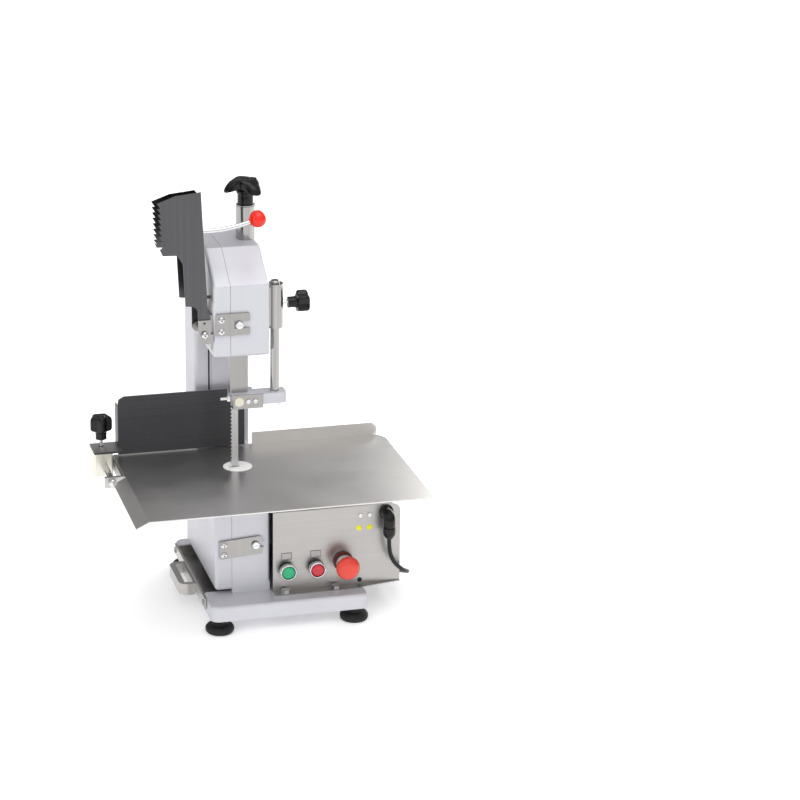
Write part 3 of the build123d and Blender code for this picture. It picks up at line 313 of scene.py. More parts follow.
def brushed_steel(name, colour, along="X", roughness=0.30, contrast=0.16, coarse=1.0, painted_top_light=None):
    """Brushed stainless: lines along one axis in tone, roughness and relief, and faint smudges.

    The lines are coarse times wider than the finest brushing. Faces that look up take the second colour, if
    it is
    given: painted light, tops made lighter as if lit from above.
    """
    material, nodes, links = new_material(name)
    output = nodes.new("ShaderNodeOutputMaterial")
    output.label, output.location = "Brushed surface", (900, 0)
    shader = nodes.new("ShaderNodeBsdfPrincipled")
    shader.label, shader.location = "Stainless steel", (600, 0)
    shader.inputs["Metallic"].default_value = 1.0
    place = nodes.new("ShaderNodeTexCoord")
    place.label, place.location = "Place on sheet", (-1100, 0)
    stretch = nodes.new("ShaderNodeMapping")
    stretch.label, stretch.location = "Stretch along the brushing", (-880, 150)
    stretch.inputs["Scale"].default_value = [value / coarse for value in ALONG[along]]
    lines = nodes.new("ShaderNodeTexNoise")
    lines.label, lines.location = "Brush lines", (-620, 150)
    lines.inputs["Scale"].default_value = 1.0
    lines.inputs["Detail"].default_value = 4.0
    lines.inputs["Roughness"].default_value = 0.65
    smudge = nodes.new("ShaderNodeTexNoise")
    smudge.label, smudge.location = "Smudges", (-620, -200)
    smudge.inputs["Scale"].default_value = 13.0
    smudge.inputs["Detail"].default_value = 5.0
    smudge.inputs["Distortion"].default_value = 0.6
    tone = nodes.new("ShaderNodeMix")
    tone.label, tone.location = "Tone of the lines", (-300, 200)
    tone.data_type = "RGBA"
    tone.inputs["A"].default_value = (*[c * (1 - contrast) for c in colour], 1)
    tone.inputs["B"].default_value = (*[min(c * (1 + contrast), 1) for c in colour], 1)
    dull = nodes.new("ShaderNodeMapRange")
    dull.label, dull.location = "Line roughness", (-300, -50)
    dull.inputs["To Min"].default_value = roughness - 0.06
    dull.inputs["To Max"].default_value = roughness + 0.08
    worn = nodes.new("ShaderNodeMapRange")
    worn.label, worn.location = "Smudge roughness", (-300, -300)
    worn.inputs["From Min"].default_value = 0.35
    worn.inputs["From Max"].default_value = 0.70
    worn.inputs["To Min"].default_value = -0.01
    worn.inputs["To Max"].default_value = 0.04
    total = nodes.new("ShaderNodeMath")
    total.label, total.location = "Roughness of both", (0, -150)
    total.operation = "ADD"
    relief = nodes.new("ShaderNodeBump")
    relief.label, relief.location = "Scratch relief", (250, -350)
    relief.inputs["Strength"].default_value = 0.10
    relief.inputs["Distance"].default_value = 0.0002
    links.new(place.outputs["Object"], stretch.inputs["Vector"])
    links.new(stretch.outputs["Vector"], lines.inputs["Vector"])
    links.new(place.outputs["Object"], smudge.inputs["Vector"])
    links.new(lines.outputs["Fac"], tone.inputs["Factor"])
    links.new(lines.outputs["Fac"], dull.inputs["Value"])
    links.new(smudge.outputs["Fac"], worn.inputs["Value"])
    links.new(dull.outputs["Result"], total.inputs[0])
    links.new(worn.outputs["Result"], total.inputs[1])
    # Painted light: faces whose normal looks up are mixed toward a lighter colour, as if lit from above.
    if painted_top_light:
        split = nodes.new("ShaderNodeSeparateXYZ")
        split.label, split.location = "Way the face looks", (-300, 480)
        upward = nodes.new("ShaderNodeMapRange")
        upward.label, upward.location = "Looks up", (-100, 480)
        upward.inputs["From Min"].default_value = 0.6
        upward.inputs["From Max"].default_value = 0.8
        level = nodes.new("ShaderNodeMix")
        level.label, level.location = "Lighter on top", (150, 300)
        level.data_type = "RGBA"
        level.inputs["B"].default_value = (*painted_top_light, 1)
        links.new(place.outputs["Normal"], split.inputs["Vector"])
        links.new(split.outputs["Z"], upward.inputs["Value"])
        links.new(upward.outputs["Result"], level.inputs["Factor"])
        links.new(tone.outputs["Result"], level.inputs["A"])
        links.new(level.outputs["Result"], shader.inputs["Base Color"])
        painted_top_light_frame = nodes.new("NodeFrame")
        painted_top_light_frame.label = "Painted light on top faces"
        for node in (split, upward, level):
            node.parent = painted_top_light_frame
    else:
        links.new(tone.outputs["Result"], shader.inputs["Base Color"])
    links.new(total.outputs["Value"], shader.inputs["Roughness"])
    links.new(lines.outputs["Fac"], relief.inputs["Height"])
    links.new(relief.outputs["Normal"], shader.inputs["Normal"])
    links.new(shader.outputs["BSDF"], output.inputs["Surface"])
    brushing_frame = nodes.new("NodeFrame")
    brushing_frame.label = "Brushing"
    for node in (stretch, lines, tone, dull, relief):
        node.parent = brushing_frame
    marks_frame = nodes.new("NodeFrame")
    marks_frame.label = "Handling marks"
    for node in (smudge, worn, total):
        node.parent = marks_frame
    return material


def bare_metal(name, colour, roughness=0.16, scratches=0.05):
    """Polished or machined metal with hairline scratches and a little uneven roughness."""
    material, nodes, links = new_material(name)
    output = nodes.new("ShaderNodeOutputMaterial")
    output.label, output.location = "Metal surface", (700, 0)
    shader = nodes.new("ShaderNodeBsdfPrincipled")
    shader.label, shader.location = "Bright metal", (420, 0)
    shader.inputs["Metallic"].default_value = 1.0
    place = nodes.new("ShaderNodeTexCoord")
    place.label, place.location = "Place on part", (-800, 0)
    haze = nodes.new("ShaderNodeTexNoise")
    haze.label, haze.location = "Haze", (-550, 150)
    haze.inputs["Scale"].default_value = 55.0
    haze.inputs["Detail"].default_value = 6.0
    tone = nodes.new("ShaderNodeMix")
    tone.label, tone.location = "Tone of the haze", (-250, 250)
    tone.data_type = "RGBA"
    tone.inputs["A"].default_value = (*[c * 0.90 for c in colour], 1)
    tone.inputs["B"].default_value = (*[min(c * 1.06, 1) for c in colour], 1)
    gloss = nodes.new("ShaderNodeMapRange")
    gloss.label, gloss.location = "Uneven polish", (-250, 0)
    gloss.inputs["To Min"].default_value = max(roughness - 0.05, 0.03)
    gloss.inputs["To Max"].default_value = roughness + 0.08
    marks = nodes.new("ShaderNodeTexNoise")
    marks.label, marks.location = "Tool marks", (-550, -250)
    marks.inputs["Scale"].default_value = 900.0
    marks.inputs["Detail"].default_value = 2.0
    relief = nodes.new("ShaderNodeBump")
    relief.label, relief.location = "Mark relief", (100, -250)
    relief.inputs["Strength"].default_value = scratches
    relief.inputs["Distance"].default_value = 0.0002
    links.new(place.outputs["Object"], haze.inputs["Vector"])
    links.new(place.outputs["Object"], marks.inputs["Vector"])
    links.new(haze.outputs["Fac"], tone.inputs["Factor"])
    links.new(haze.outputs["Fac"], gloss.inputs["Value"])
    links.new(tone.outputs["Result"], shader.inputs["Base Color"])
    links.new(gloss.outputs["Result"], shader.inputs["Roughness"])
    links.new(marks.outputs["Fac"], relief.inputs["Height"])
    links.new(relief.outputs["Normal"], shader.inputs["Normal"])
    links.new(shader.outputs["BSDF"], output.inputs["Surface"])
    polish_frame = nodes.new("NodeFrame")
    polish_frame.label = "Polish"
    for node in (haze, tone, gloss):
        node.parent = polish_frame
    marks_frame = nodes.new("NodeFrame")
    marks_frame.label = "Marks"
    for node in (marks, relief):
        node.parent = marks_frame
    return material


def moulded(name, colour, roughness=0.25, grain=500.0, relief_strength=0.06, coat=0.0, mottle=0.12):
    """Moulded plastic or rubber: slight mottling, uneven gloss and a fine moulded grain."""
    material, nodes, links = new_material(name)
    output = nodes.new("ShaderNodeOutputMaterial")
    output.label, output.location = "Moulded surface", (700, 0)
    shader = nodes.new("ShaderNodeBsdfPrincipled")
    shader.label, shader.location = "Moulding", (420, 0)
    shader.inputs["Coat Weight"].default_value = coat
    shader.inputs["Coat Roughness"].default_value = 0.08
    shader.inputs["Specular IOR Level"].default_value = 0.35
    place = nodes.new("ShaderNodeTexCoord")
    place.label, place.location = "Place on moulding", (-800, 0)
    blotch = nodes.new("ShaderNodeTexNoise")
    blotch.label, blotch.location = "Mottling", (-550, 150)
    blotch.inputs["Scale"].default_value = 70.0
    blotch.inputs["Detail"].default_value = 4.0
    tone = nodes.new("ShaderNodeMix")
    tone.label, tone.location = "Mottled tone", (-250, 250)
    tone.data_type = "RGBA"
    tone.inputs["A"].default_value = (*[c * (1 - mottle) for c in colour], 1)
    tone.inputs["B"].default_value = (*[min(c * (1 + mottle) + 0.004, 1) for c in colour], 1)
    gloss = nodes.new("ShaderNodeMapRange")
    gloss.label, gloss.location = "Uneven gloss", (-250, 0)
    gloss.inputs["To Min"].default_value = max(roughness - 0.06, 0.04)
    gloss.inputs["To Max"].default_value = roughness + 0.08
    texture = nodes.new("ShaderNodeTexNoise")
    texture.label, texture.location = "Mould grain", (-550, -250)
    texture.inputs["Scale"].default_value = grain
    texture.inputs["Detail"].default_value = 2.0
    relief = nodes.new("ShaderNodeBump")
    relief.label, relief.location = "Grain relief", (100, -250)
    relief.inputs["Strength"].default_value = relief_strength
    relief.inputs["Distance"].default_value = 0.0004
    links.new(place.outputs["Object"], blotch.inputs["Vector"])
    links.new(place.outputs["Object"], texture.inputs["Vector"])
    links.new(blotch.outputs["Fac"], tone.inputs["Factor"])
    links.new(blotch.outputs["Fac"], gloss.inputs["Value"])
    links.new(tone.outputs["Result"], shader.inputs["Base Color"])
    links.new(gloss.outputs["Result"], shader.inputs["Roughness"])
    links.new(texture.outputs["Fac"], relief.inputs["Height"])
    links.new(relief.outputs["Normal"], shader.inputs["Normal"])
    links.new(shader.outputs["BSDF"], output.inputs["Surface"])
    colour_frame = nodes.new("NodeFrame")
    colour_frame.label = "Colour"
    for node in (blotch, tone, gloss):
        node.parent = colour_frame
    grain_frame = nodes.new("NodeFrame")
    grain_frame.label = "Grain"
    for node in (texture, relief):
        node.parent = grain_frame
    return material


def studio_floor(name):
    """Pale matte studio floor."""
    material, nodes, links = new_material(name)
    output = nodes.new("ShaderNodeOutputMaterial")
    output.label, output.location = "Floor surface", (300, 0)
    shader = nodes.new("ShaderNodeBsdfPrincipled")
    shader.label, shader.location = "Pale floor", (0, 0)
    shader.inputs["Base Color"].default_value = (0.93, 0.93, 0.93, 1)
    shader.inputs["Emission Color"].default_value = (1.0, 1.0, 1.0, 1)
    shader.inputs["Emission Strength"].default_value = 0.28
    shader.inputs["Roughness"].default_value = 0.9
    links.new(shader.outputs["BSDF"], output.inputs["Surface"])
    return material


def finish_name(name):
    return bpy.data.materials[name]


def cover(piece, material):
    """Gives a piece one material in all its slots."""
    piece.data.materials.clear()
    piece.data.materials.append(finish_name(material))


def seat(piece, body, material, slot, *nodes):
    """Rides a new piece on its body, gives it its finish and hides the nodes that it stands for."""
    cover(piece, material)
    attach(piece, body)
    if nodes:
        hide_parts(*nodes)


# ------------------------------------------------------------------ stage
CAMERA_PLACE = (-0.9426, -3.9778, 1.7723)   # metres
CAMERA_DOWN, CAMERA_TURN = 19.321, -13.387  # degrees
LENS, SENSOR = 117.3, 36.0
SHIFT_X, SHIFT_Y = 0.1625, 0.00625
FLOOR_HALF = 30.0                           # metres
AIM = np.array([0.0, 0.0, 0.3])             # where the lamps point, in metres


class SAW_OT_stage(Operator):
    """Camera, soft studio lights and a pale floor"""
    bl_idname = "saw.stage"
    bl_label = "Studio stage"

    def execute(self, context):
        data = bpy.data.cameras.new("camera")
        data.lens, data.sensor_width = LENS, SENSOR
        data.shift_x, data.shift_y = SHIFT_X, SHIFT_Y
        data.clip_end = 50.0
        camera = bpy.data.objects.new("camera", data)
        camera.location = CAMERA_PLACE
        camera.rotation_euler = (math.radians(90 - CAMERA_DOWN), 0, math.radians(CAMERA_TURN))
        context.scene.collection.objects.link(camera)
        context.scene.camera = camera
        corners = np.array([[-1, -1, 0], [1, -1, 0], [1, 1, 0], [-1, 1, 0]], float) * FLOOR_HALF
        floor = put_mesh("studio_floor", corners, np.array([[0, 1, 2, 3]]))
        floor.data.materials.append(studio_floor("studio_floor"))
        lights = (
            ("right_panel", (2.12, 2.15, 0.98), (2.3, 1.6), 52),
            ("left_strip", (-2.0, -0.9, 1.3), (0.35, 2.2), 5),
            ("top_soft", (0.3, -0.6, 3.0), (2.2, 2.2), 22),
        )
        for name, place, size, power in lights:
            lamp = bpy.data.lights.new(name, "AREA")
            lamp.shape = "RECTANGLE"
            lamp.size, lamp.size_y = size
            lamp.energy = power
            holder = bpy.data.objects.new(name, lamp)
            holder.location = place
            aim = AIM - np.array(place)
            holder.rotation_euler = (math.acos(aim[2] / np.linalg.norm(aim)) + math.pi, 0,
                                     math.atan2(aim[1], aim[0]) - math.pi / 2 + math.pi)
            context.scene.collection.objects.link(holder)
        sun = bpy.data.lights.new("wide_sun", "SUN")
        sun.energy, sun.angle = 1.0, math.radians(50)
        holder = bpy.data.objects.new("wide_sun", sun)
        holder.visible_glossy = False
        holder.rotation_euler = (math.radians(48), 0, math.radians(-24))
        context.scene.collection.objects.link(holder)
        self.world(context)
        context.scene.view_settings.view_transform = "Standard"
        return {"FINISHED"}

    def world(self, context):
        """Surroundings bright in front and above and dark behind, with dark bands for bright metal."""
        world = bpy.data.worlds.new("studio_world")
        world.use_nodes = True
        nodes, links = world.node_tree.nodes, world.node_tree.links
        nodes.clear()
        output = nodes.new("ShaderNodeOutputWorld")
        output.label, output.location = "Surroundings", (900, 0)
        background = nodes.new("ShaderNodeBackground")
        background.label, background.location = "Studio light", (700, 0)
        background.inputs["Strength"].default_value = 0.57
        place = nodes.new("ShaderNodeTexCoord")
        place.label, place.location = "Direction", (-700, 0)
        split = nodes.new("ShaderNodeSeparateXYZ")
        split.label, split.location = "Direction parts", (-500, 0)
        depth = nodes.new("ShaderNodeMapRange")
        depth.label, depth.location = "Bright in front", (-250, 200)
        depth.inputs["From Min"].default_value = -1.0
        depth.inputs["To Min"].default_value = 1.45
        depth.inputs["To Max"].default_value = 0.34
        bands = nodes.new("ShaderNodeValToRGB")
        bands.label, bands.location = "Dark bands", (0, -80)
        bands.color_ramp.interpolation = "EASE"
        ramp = bands.color_ramp.elements
        ramp[0].position, ramp[1].position = 0.0, 1.0
        for spot, tone in ((0.14, 1.0), (0.24, 0.22), (0.34, 0.95), (0.62, 0.95), (0.72, 0.20), (0.84, 1.0)):
            stop = ramp.new(spot)
            stop.color = (tone, tone, tone, 1)
        ramp[0].color = (0.28, 0.28, 0.28, 1)
        ramp[-1].color = (0.35, 0.35, 0.35, 1)
        shift = nodes.new("ShaderNodeMapRange")
        shift.label, shift.location = "Side to side", (-250, -80)
        shift.inputs["From Min"].default_value = -1.0
        sky = nodes.new("ShaderNodeMapRange")
        sky.label, sky.location = "Bright above", (-250, -340)
        sky.inputs["From Min"].default_value = 0.25
        sky.inputs["To Max"].default_value = 0.62
        mixed = nodes.new("ShaderNodeMath")
        mixed.label, mixed.location = "Front times bands", (320, 80)
        mixed.operation = "MULTIPLY"
        total = nodes.new("ShaderNodeMath")
        total.label, total.location = "With the sky", (500, 0)
        total.operation = "ADD"
        links.new(place.outputs["Generated"], split.inputs["Vector"])
        links.new(split.outputs["X"], shift.inputs["Value"])
        links.new(split.outputs["Y"], depth.inputs["Value"])
        links.new(split.outputs["Z"], sky.inputs["Value"])
        links.new(shift.outputs["Result"], bands.inputs["Fac"])
        links.new(depth.outputs["Result"], mixed.inputs[0])
        links.new(bands.outputs["Color"], mixed.inputs[1])
        links.new(mixed.outputs["Value"], total.inputs[0])
        links.new(sky.outputs["Result"], total.inputs[1])
        links.new(total.outputs["Value"], background.inputs["Color"])
        links.new(background.outputs["Background"], output.inputs["Surface"])
        context.scene.world = world


# ------------------------------------------------------------------ cord
ROUTE = [
    (175, -134, 136), (175, -134, 113), (184.7, -134, 92), (200.3, -129, 76), (214, -114, 66), (219, -91, 56),
    (217, -54, 43), (214, -13, 29), (214, 29, 14), (212, 68, 5), (208, 106, 3.5), (200, 145, 3.5),
    (200, 183, 3.5),
]
COIL_MIDDLE, COIL_OUT, COIL_IN, CORD_R = (150.0, 215.0), 50.0, 32.0, 3.5
PLUG_END = (118.0, 265.0, 10.5)


class SAW_OT_cord(Operator):
    """Mains cord on one smooth curve, with its stored coil, running from the strain relief to the plug"""
    bl_idname = "saw.cord"
    bl_label = "Mains cord"

    def execute(self, context):
        sizes = context.scene.saw_sizes
        turns = sizes.coil_turns
        share = np.linspace(0, 1, int(turns * 14))
        angle = 2 * math.pi * turns * share
        radius = COIL_IN + (COIL_OUT - COIL_IN) * np.abs(1 - 2 * share)
        climb = np.clip((share - 0.46) / 0.08, 0, 1)
        coil = np.stack([COIL_MIDDLE[0] + radius * np.cos(angle), COIL_MIDDLE[1] + radius * np.sin(angle),
                         CORD_R + 2 * CORD_R * climb], axis=1)
        points = np.vstack([ROUTE, coil, [PLUG_END]]) * MM
        curve = bpy.data.curves.new("mains_cord", "CURVE")
        curve.dimensions = "3D"
        curve.bevel_depth = sizes.cord_diameter / 2
        curve.bevel_resolution = 4
        curve.use_fill_caps = True
        spline = curve.splines.new("NURBS")
        spline.points.add(len(points) - 1)
        spline.points.foreach_set("co", np.hstack([points, np.ones((len(points), 1))]).ravel())
        spline.order_u = 3
        spline.use_endpoint_u = True
        spline.resolution_u = 6
        cord = bpy.data.objects.new("mains_cord", curve)
        context.scene.collection.objects.link(cord)
        cord.data.materials.append(finish_name("cord_sheath"))
        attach(cord, "frame")
        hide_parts("power_cord", "cord_coil")
        return {"FINISHED"}


class SAW_OT_gland(Operator):
    """Black elbow strain relief: a circle of varying radius carried along a quarter turn"""
    bl_idname = "saw.gland"
    bl_label = "Cable gland"

    def execute(self, context):
        x, y, low = ROUTE[0]
        bend, centre_z = 10.0, 176.0
        turn = np.linspace(0, math.pi / 2, 10)
        elbow = np.stack([np.full_like(turn, x), y + bend - bend * np.sin(turn),
                          centre_z - bend + bend * np.cos(turn)], axis=1)
        path = [(x, -112, centre_z), (x, -114.5, centre_z), (x, -115, centre_z), (x, -117, centre_z)]
        radii = [12.5, 12.5, 11.0, 10.0]
        drop = [(160, 10.0), (159.5, 8.6), (156.5, 8.6), (156, 10.2), (153, 10.6), (146, 10.6), (142, 9.4),
                (138.5, 6.6), (low, 4.6)]
        path = np.vstack([path, elbow, [(x, y, z) for z, _ in drop]])
        radii = radii + [10.0] * len(elbow) + [r for _, r in drop]
        seat(carried("elbow_gland", path, radii, (1, 0, 0), 40), "frame", "black_gloss", "black_plastic",
             "cable_gland")
        return {"FINISHED"}


# ------------------------------------------------------------------ knobs, buttons, feet
# Profiles are (radius, height) in millimetres, from the middle of the top round to the middle below.
DOME_PROFILE = [
    (0, 21.5), (7, 21.4), (14, 20.4), (21, 17.8), (28, 13.2), (33, 7.0), (35.4, 1.2), (35.2, -1.4),
    (33.4, -2.2), (31.0, -0.4), (26, 3.2), (18, 5.0), (11, 5.0), (0, 5.0),
]
NECK_PROFILE = [(0, 8), (13, 8), (15.3, 6.6), (15.3, 3), (13.6, 1), (13.2, -2), (13.2, -16.6), (0, -16.6)]
CAP_PROFILE = [(0, 2.0), (4, 1.9), (6.6, 1.4), (7.2, 0.6), (7.2, -3), (0, -3)]
STAR_PROFILE = [
    (0, 22), (6, 22), (7, 21), (15, 21.5), (18.2, 19.5), (19, 16.5), (19, 5), (17.5, 2.5), (12, 1.0),
    (10.5, 0), (9.6, -1.5), (9.2, -8), (9.5, -12), (9.0, -13), (4, -13), (0, -13),
]
STUD_R = 2.9


class SAW_OT_knobs(Operator):
    """Three-lobed tension handwheel and the two star knobs with their studs"""
    bl_idname = "saw.knobs"
    bl_label = "Knobs"

    def execute(self, context):
        lobes = context.scene.saw_sizes.star_lobes
        hub = (SCREW_X, WHEEL_Y)
        piece = turned("tension_handwheel", rounded(DOME_PROFILE, 1.2), (*hub, DOME_BASE), UP, 120, lobes=3,
                       depth=0.46, phase=math.radians(25), sharp=0.9, lift=9.0)
        seat(piece, "tension_wheel", "black_gloss", "black_plastic", "tension_knob")
        piece = turned("handwheel_neck", rounded(NECK_PROFILE, 0.6), (*hub, NECK_BASE), UP, 64)
        seat(piece, "tension_wheel", "black_gloss", "black_plastic")
        piece = turned("handwheel_cap", rounded(CAP_PROFILE, 0.4), (*hub, CAP_BASE), UP, 48)
        seat(piece, "tension_wheel", "black_gloss", "black_plastic")
        for name, body, node, base, axis, stretch, reach in (
                ("guide_star", "guide_knob", "guide_lock_knob", GUIDE_STAR, RIGHT, 1.0, 28.5),
                ("fence_star", "fence_knob", "fence_knob", FENCE_STAR, UP, 1.25, 45.4)):
            profile = np.array(STAR_PROFILE) * (1, stretch)
            profile[profile[:, 1] < 0, 1] /= stretch
            piece = turned(name, rounded(profile, 1.0), base, axis, 100, lobes=lobes, depth=0.26, sharp=0.8)
            seat(piece, body, "black_gloss", "black_plastic", node)
            stud = [(0, -12), (STUD_R, -12), (STUD_R, 1 - reach), (STUD_R - 0.7, -reach), (0, -reach)]
            seat(turned(name + "_stud", stud, base, axis, 24), body, "polished_steel", "polished_steel")
        return {"FINISHED"}


class SAW_OT_feet(Operator):
    """Four bun-shaped rubber feet with a moulded recess below"""
    bl_idname = "saw.feet"
    bl_label = "Rubber feet"

    def execute(self, context):
        profile = [
            (8.8, 8), (8.8, 0.8), (10, 0), (19.4, 0), (21.4, 0.9), (23, 3), (23.8, 5.6), (23.8, 8),
            (23.2, 10.2), (21.6, 12.2), (19, 13.4), (15, 13.9), (13.3, 14.4), (13, 16), (13, 24), (4.2, 24),
            (4.2, 10.5), (8.8, 10.5), (8.8, 8),
        ]
        bases = [(x, y, 0) for x in FOOT_XS for y in (-FOOT_Y, FOOT_Y)]
        piece = turned_group("turned_feet", profile, bases, UP, 64)
        seat(piece, "frame", "matte_rubber", "rubber", "rubber_feet")
        return {"FINISHED"}


class SAW_OT_buttons(Operator):
    """Barrels, bezels, green and red caps and the emergency stop, all turned about Y"""
    bl_idname = "saw.buttons"
    bl_label = "Push buttons"

    def execute(self, context):
        barrel = [(11.6, 0), (13.7, 0), (13.7, 8.6), (11.6, 8.6), (11.6, 0)]
        seat(turned_group("button_barrels", barrel, [START, STOP], OUTWARD, 64), "frame", "black_gloss",
             "black_plastic")
        ring = [
            (11.4, 12), (11.4, 16.4), (12, 17.2), (13, 17.2), (14, 16), (14.3, 14.6), (14.3, 9.6),
            (13.6, 8.6), (11.4, 8.6), (11.4, 12),
        ]
        seat(turned_group("button_bezels", rounded(ring, 0.3), [START, STOP], OUTWARD, 64), "frame",
             "polished_steel", "polished_steel", "button_housings")
        collar = [(8.6, 2), (8.6, 0), (17, 0), (17, 3.6), (16.2, 4.8), (14, 5.2), (8.6, 5.2), (8.6, 2)]
        seat(turned("emergency_collar", rounded(collar, 0.4), EMERGENCY, OUTWARD), "frame", "collar_maroon",
             "estop_red")
        neck = [
            (8.6, 8), (8.6, 5), (12.4, 5), (12.4, 6.4), (14.2, 7.4), (14.2, 14.6), (13.2, 16.4), (11.2, 17),
            (8.6, 17), (8.6, 8),
        ]
        seat(turned("emergency_neck", rounded(neck, 0.4), EMERGENCY, OUTWARD), "frame", "polished_steel",
             "polished_steel")
        cap = [(0, 17.9), (6, 17.8), (9.2, 17.3), (10.4, 16.2), (10.4, -5), (0, -5)]
        for name, spot, material, slot in (("start", START, "start_green", "green_cap"),
                                           ("stop", STOP, "stop_red", "red_cap")):
            piece = turned(name + "_cap", rounded(cap, 0.6), spot, OUTWARD)
            seat(piece, name + "_button", material, slot, name + "_button")
        head = [(0, 44), (7, 43.9), (12, 43), (16, 41), (18.8, 37.8), (20, 34.4), (20, 31.4), (19.2, 29.4),
                (17, 28.4), (9, 28), (0, 28)]
        piece = turned("emergency_head", rounded(head, 1.0), EMERGENCY, OUTWARD, 96)
        seat(piece, "estop_head", "emergency_red", "estop_red", "estop_mushroom")
        return {"FINISHED"}


class SAW_OT_plates(Operator):
    """Blank plates with a raised border, yellow dots, a panel plug, domed screw heads and a door seal"""
    bl_idname = "saw.plates"
    bl_label = "Plates and seal"

    def execute(self, context):
        for index, button in enumerate((START, STOP)):
            self.label_plate(index, button[0])
        dot = [(0, 0.5), (4.2, 0.5), (4.75, 0.2), (4.75, 0), (0, 0)]
        spots = [(x, PANEL, DOT_Z) for x in DOT_XS]
        seat(turned_group("marker_dots", dot, spots, OUTWARD, 40), "frame", "dot_yellow", "labels")
        plug = [(0, 2.0), (2.4, 1.9), (3.6, 1.2), (4, 0), (0, 0)]
        seat(turned("panel_plug", plug, PANEL_PLUG, OUTWARD, 32), "frame", "black_gloss", "black_plastic")
        dome = [(0, 3.6), (2.4, 3.4), (4.4, 2.6), (5.6, 1.0), (5.6, 0), (0, 0)]
        heads = turned_group("domed_heads", rounded(dome, 0.4), DOMED_SCREWS, OUTWARD, 32)
        seat(heads, "door", "polished_steel", "polished_steel")
        # Painted shade: a small black square sits in each domed head where its cross recess would lie in
        # shadow.
        recess = [(0, 0.1), (1.7, 0.1), (1.7, -1), (0, -1)]
        spots = [(x, y - 3.5, z) for x, y, z in DOMED_SCREWS]
        seat(turned_group("screw_recess_shade", recess, spots, OUTWARD, 4), "door", "black_gloss", "black_plastic")
        seal = slab("column_seal", SEAL_LOW, SEAL_HIGH, 0.5)
        seat(seal, "door", "matte_rubber", "rubber")
        return {"FINISHED"}

    def label_plate(self, index, x):
        """Blank plate above the button at x, with a raised border of four bars."""
        left, right, low, high = x - PLATE_HALF, x + PLATE_HALF, PLATE_LOW, PLATE_HIGH
        field = slab(f"blank_plate_{index}", (left + 0.8, PANEL - 0.45, low + 0.8),
                     (right - 0.8, PANEL, high - 0.8), 0.2)
        seat(field, "frame", "plate_grey", "labels", *(["panel_labels"] if index == 0 else []))
        bars = {"low": (left, low, right, low + 1), "high": (left, high - 1, right, high),
                "left": (left, low + 1, left + 1, high - 1), "right": (right - 1, low + 1, right, high - 1)}
        for side, (x0, z0, x1, z1) in bars.items():
            bar = slab(f"plate_edge_{side}_{index}", (x0, PANEL - 0.8, z0), (x1, PANEL, z1), 0.2)
            seat(bar, "frame", "plate_edge", "labels")


class SAW_OT_ball(Operator):
    """Ball of the pusher handle with its threaded neck"""
    bl_idname = "saw.ball"
    bl_label = "Handle ball"

    def execute(self, context):
        low, high = (np.array(corner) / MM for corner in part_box("pusher_ball"))
        middle, radius = (low + high) / 2, 14.0
        turn = np.linspace(0.0, math.radians(152), 40)
        profile = np.stack([radius * np.sin(turn), radius * np.cos(turn)], axis=1)
        neck = [(5.8, -13.2), (5.4, -14.2), (4.2, -14.4)]
        slope = math.atan(0.35)
        along = (math.cos(slope), 0, math.sin(slope))
        piece = turned("handle_ball", np.vstack([profile, neck]), middle, along, 64)
        seat(piece, "pusher", "ball_red", "red_ball", "pusher_ball")
        return {"FINISHED"}


# ------------------------------------------------------------------ blade
BAND_THICK, TOOTH_ROOT = 0.6, 3.4           # millimetres; the root is measured from the tips


class SAW_OT_blade(Operator):
    """Endless toothed band round both wheels

    A point at distance s lies on one of two straight runs or two half circles. The tooth edge moves in by
    a sawtooth of s with a rounded gullet.
    """
    bl_idname = "saw.blade"
    bl_label = "Saw band"

    def execute(self, context):
        sizes = context.scene.saw_sizes
        low, high = (np.array(corner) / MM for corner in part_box("saw_blade"))
        radius = (high[1] - low[1]) / 2
        top, bottom = high[2] - radius, low[2] + radius
        middle = (high[1] + low[1]) / 2
        middle_r = radius - BAND_THICK / 2
        run, half = top - bottom, math.pi * middle_r
        total = 2 * (run + half)
        teeth = round(total / (sizes.tooth_pitch / MM))
        phases = np.array([0.0, 0.10, 0.25, 0.45, 0.65, 0.85, 0.999])
        s = ((np.arange(teeth)[:, None] + phases) / teeth * total).ravel()
        wave = np.tile(np.array([0.0, 0.55, 1.0, 0.92, 0.6, 0.25, 0.02]), teeth)
        down = s < run
        low_arc = (s >= run) & (s < run + half)
        up = (s >= run + half) & (s < 2 * run + half)
        turn_low = (s - run) / middle_r
        turn_top = (s - 2 * run - half) / middle_r
        parts, zero = [down, low_arc, up], 0 * s
        ny = np.select(parts, [zero - 1, -np.cos(turn_low), zero + 1], np.cos(turn_top))
        nz = np.select(parts, [zero, -np.sin(turn_low), zero], np.sin(turn_top))
        y = middle_r * ny
        z = np.select(parts, [top - s, bottom + middle_r * nz, bottom + s - run - half], top + middle_r * nz)
        edge = low[0] + wave * sizes.tooth_depth / MM
        root = np.full_like(s, low[0] + TOOTH_ROOT)
        back = np.full_like(s, high[0])
        centre = np.stack([zero, middle + y, z], axis=1)
        normal = np.stack([zero, ny, nz], axis=1)
        ring = []
        for x, side in ((edge, 1), (root, 1), (back, 1), (back, -1), (root, -1), (edge, -1)):
            ring.append(centre + np.stack([x, zero, zero], axis=1) + side * BAND_THICK / 2 * normal)
        points = np.stack(ring, axis=1) * MM
        piece = put_mesh("toothed_band", points, grid_faces(len(s), 6, close_rows=True), 25)
        seat(piece, "frame", "blade_steel", "blade_steel", "saw_blade")
        return {"FINISHED"}


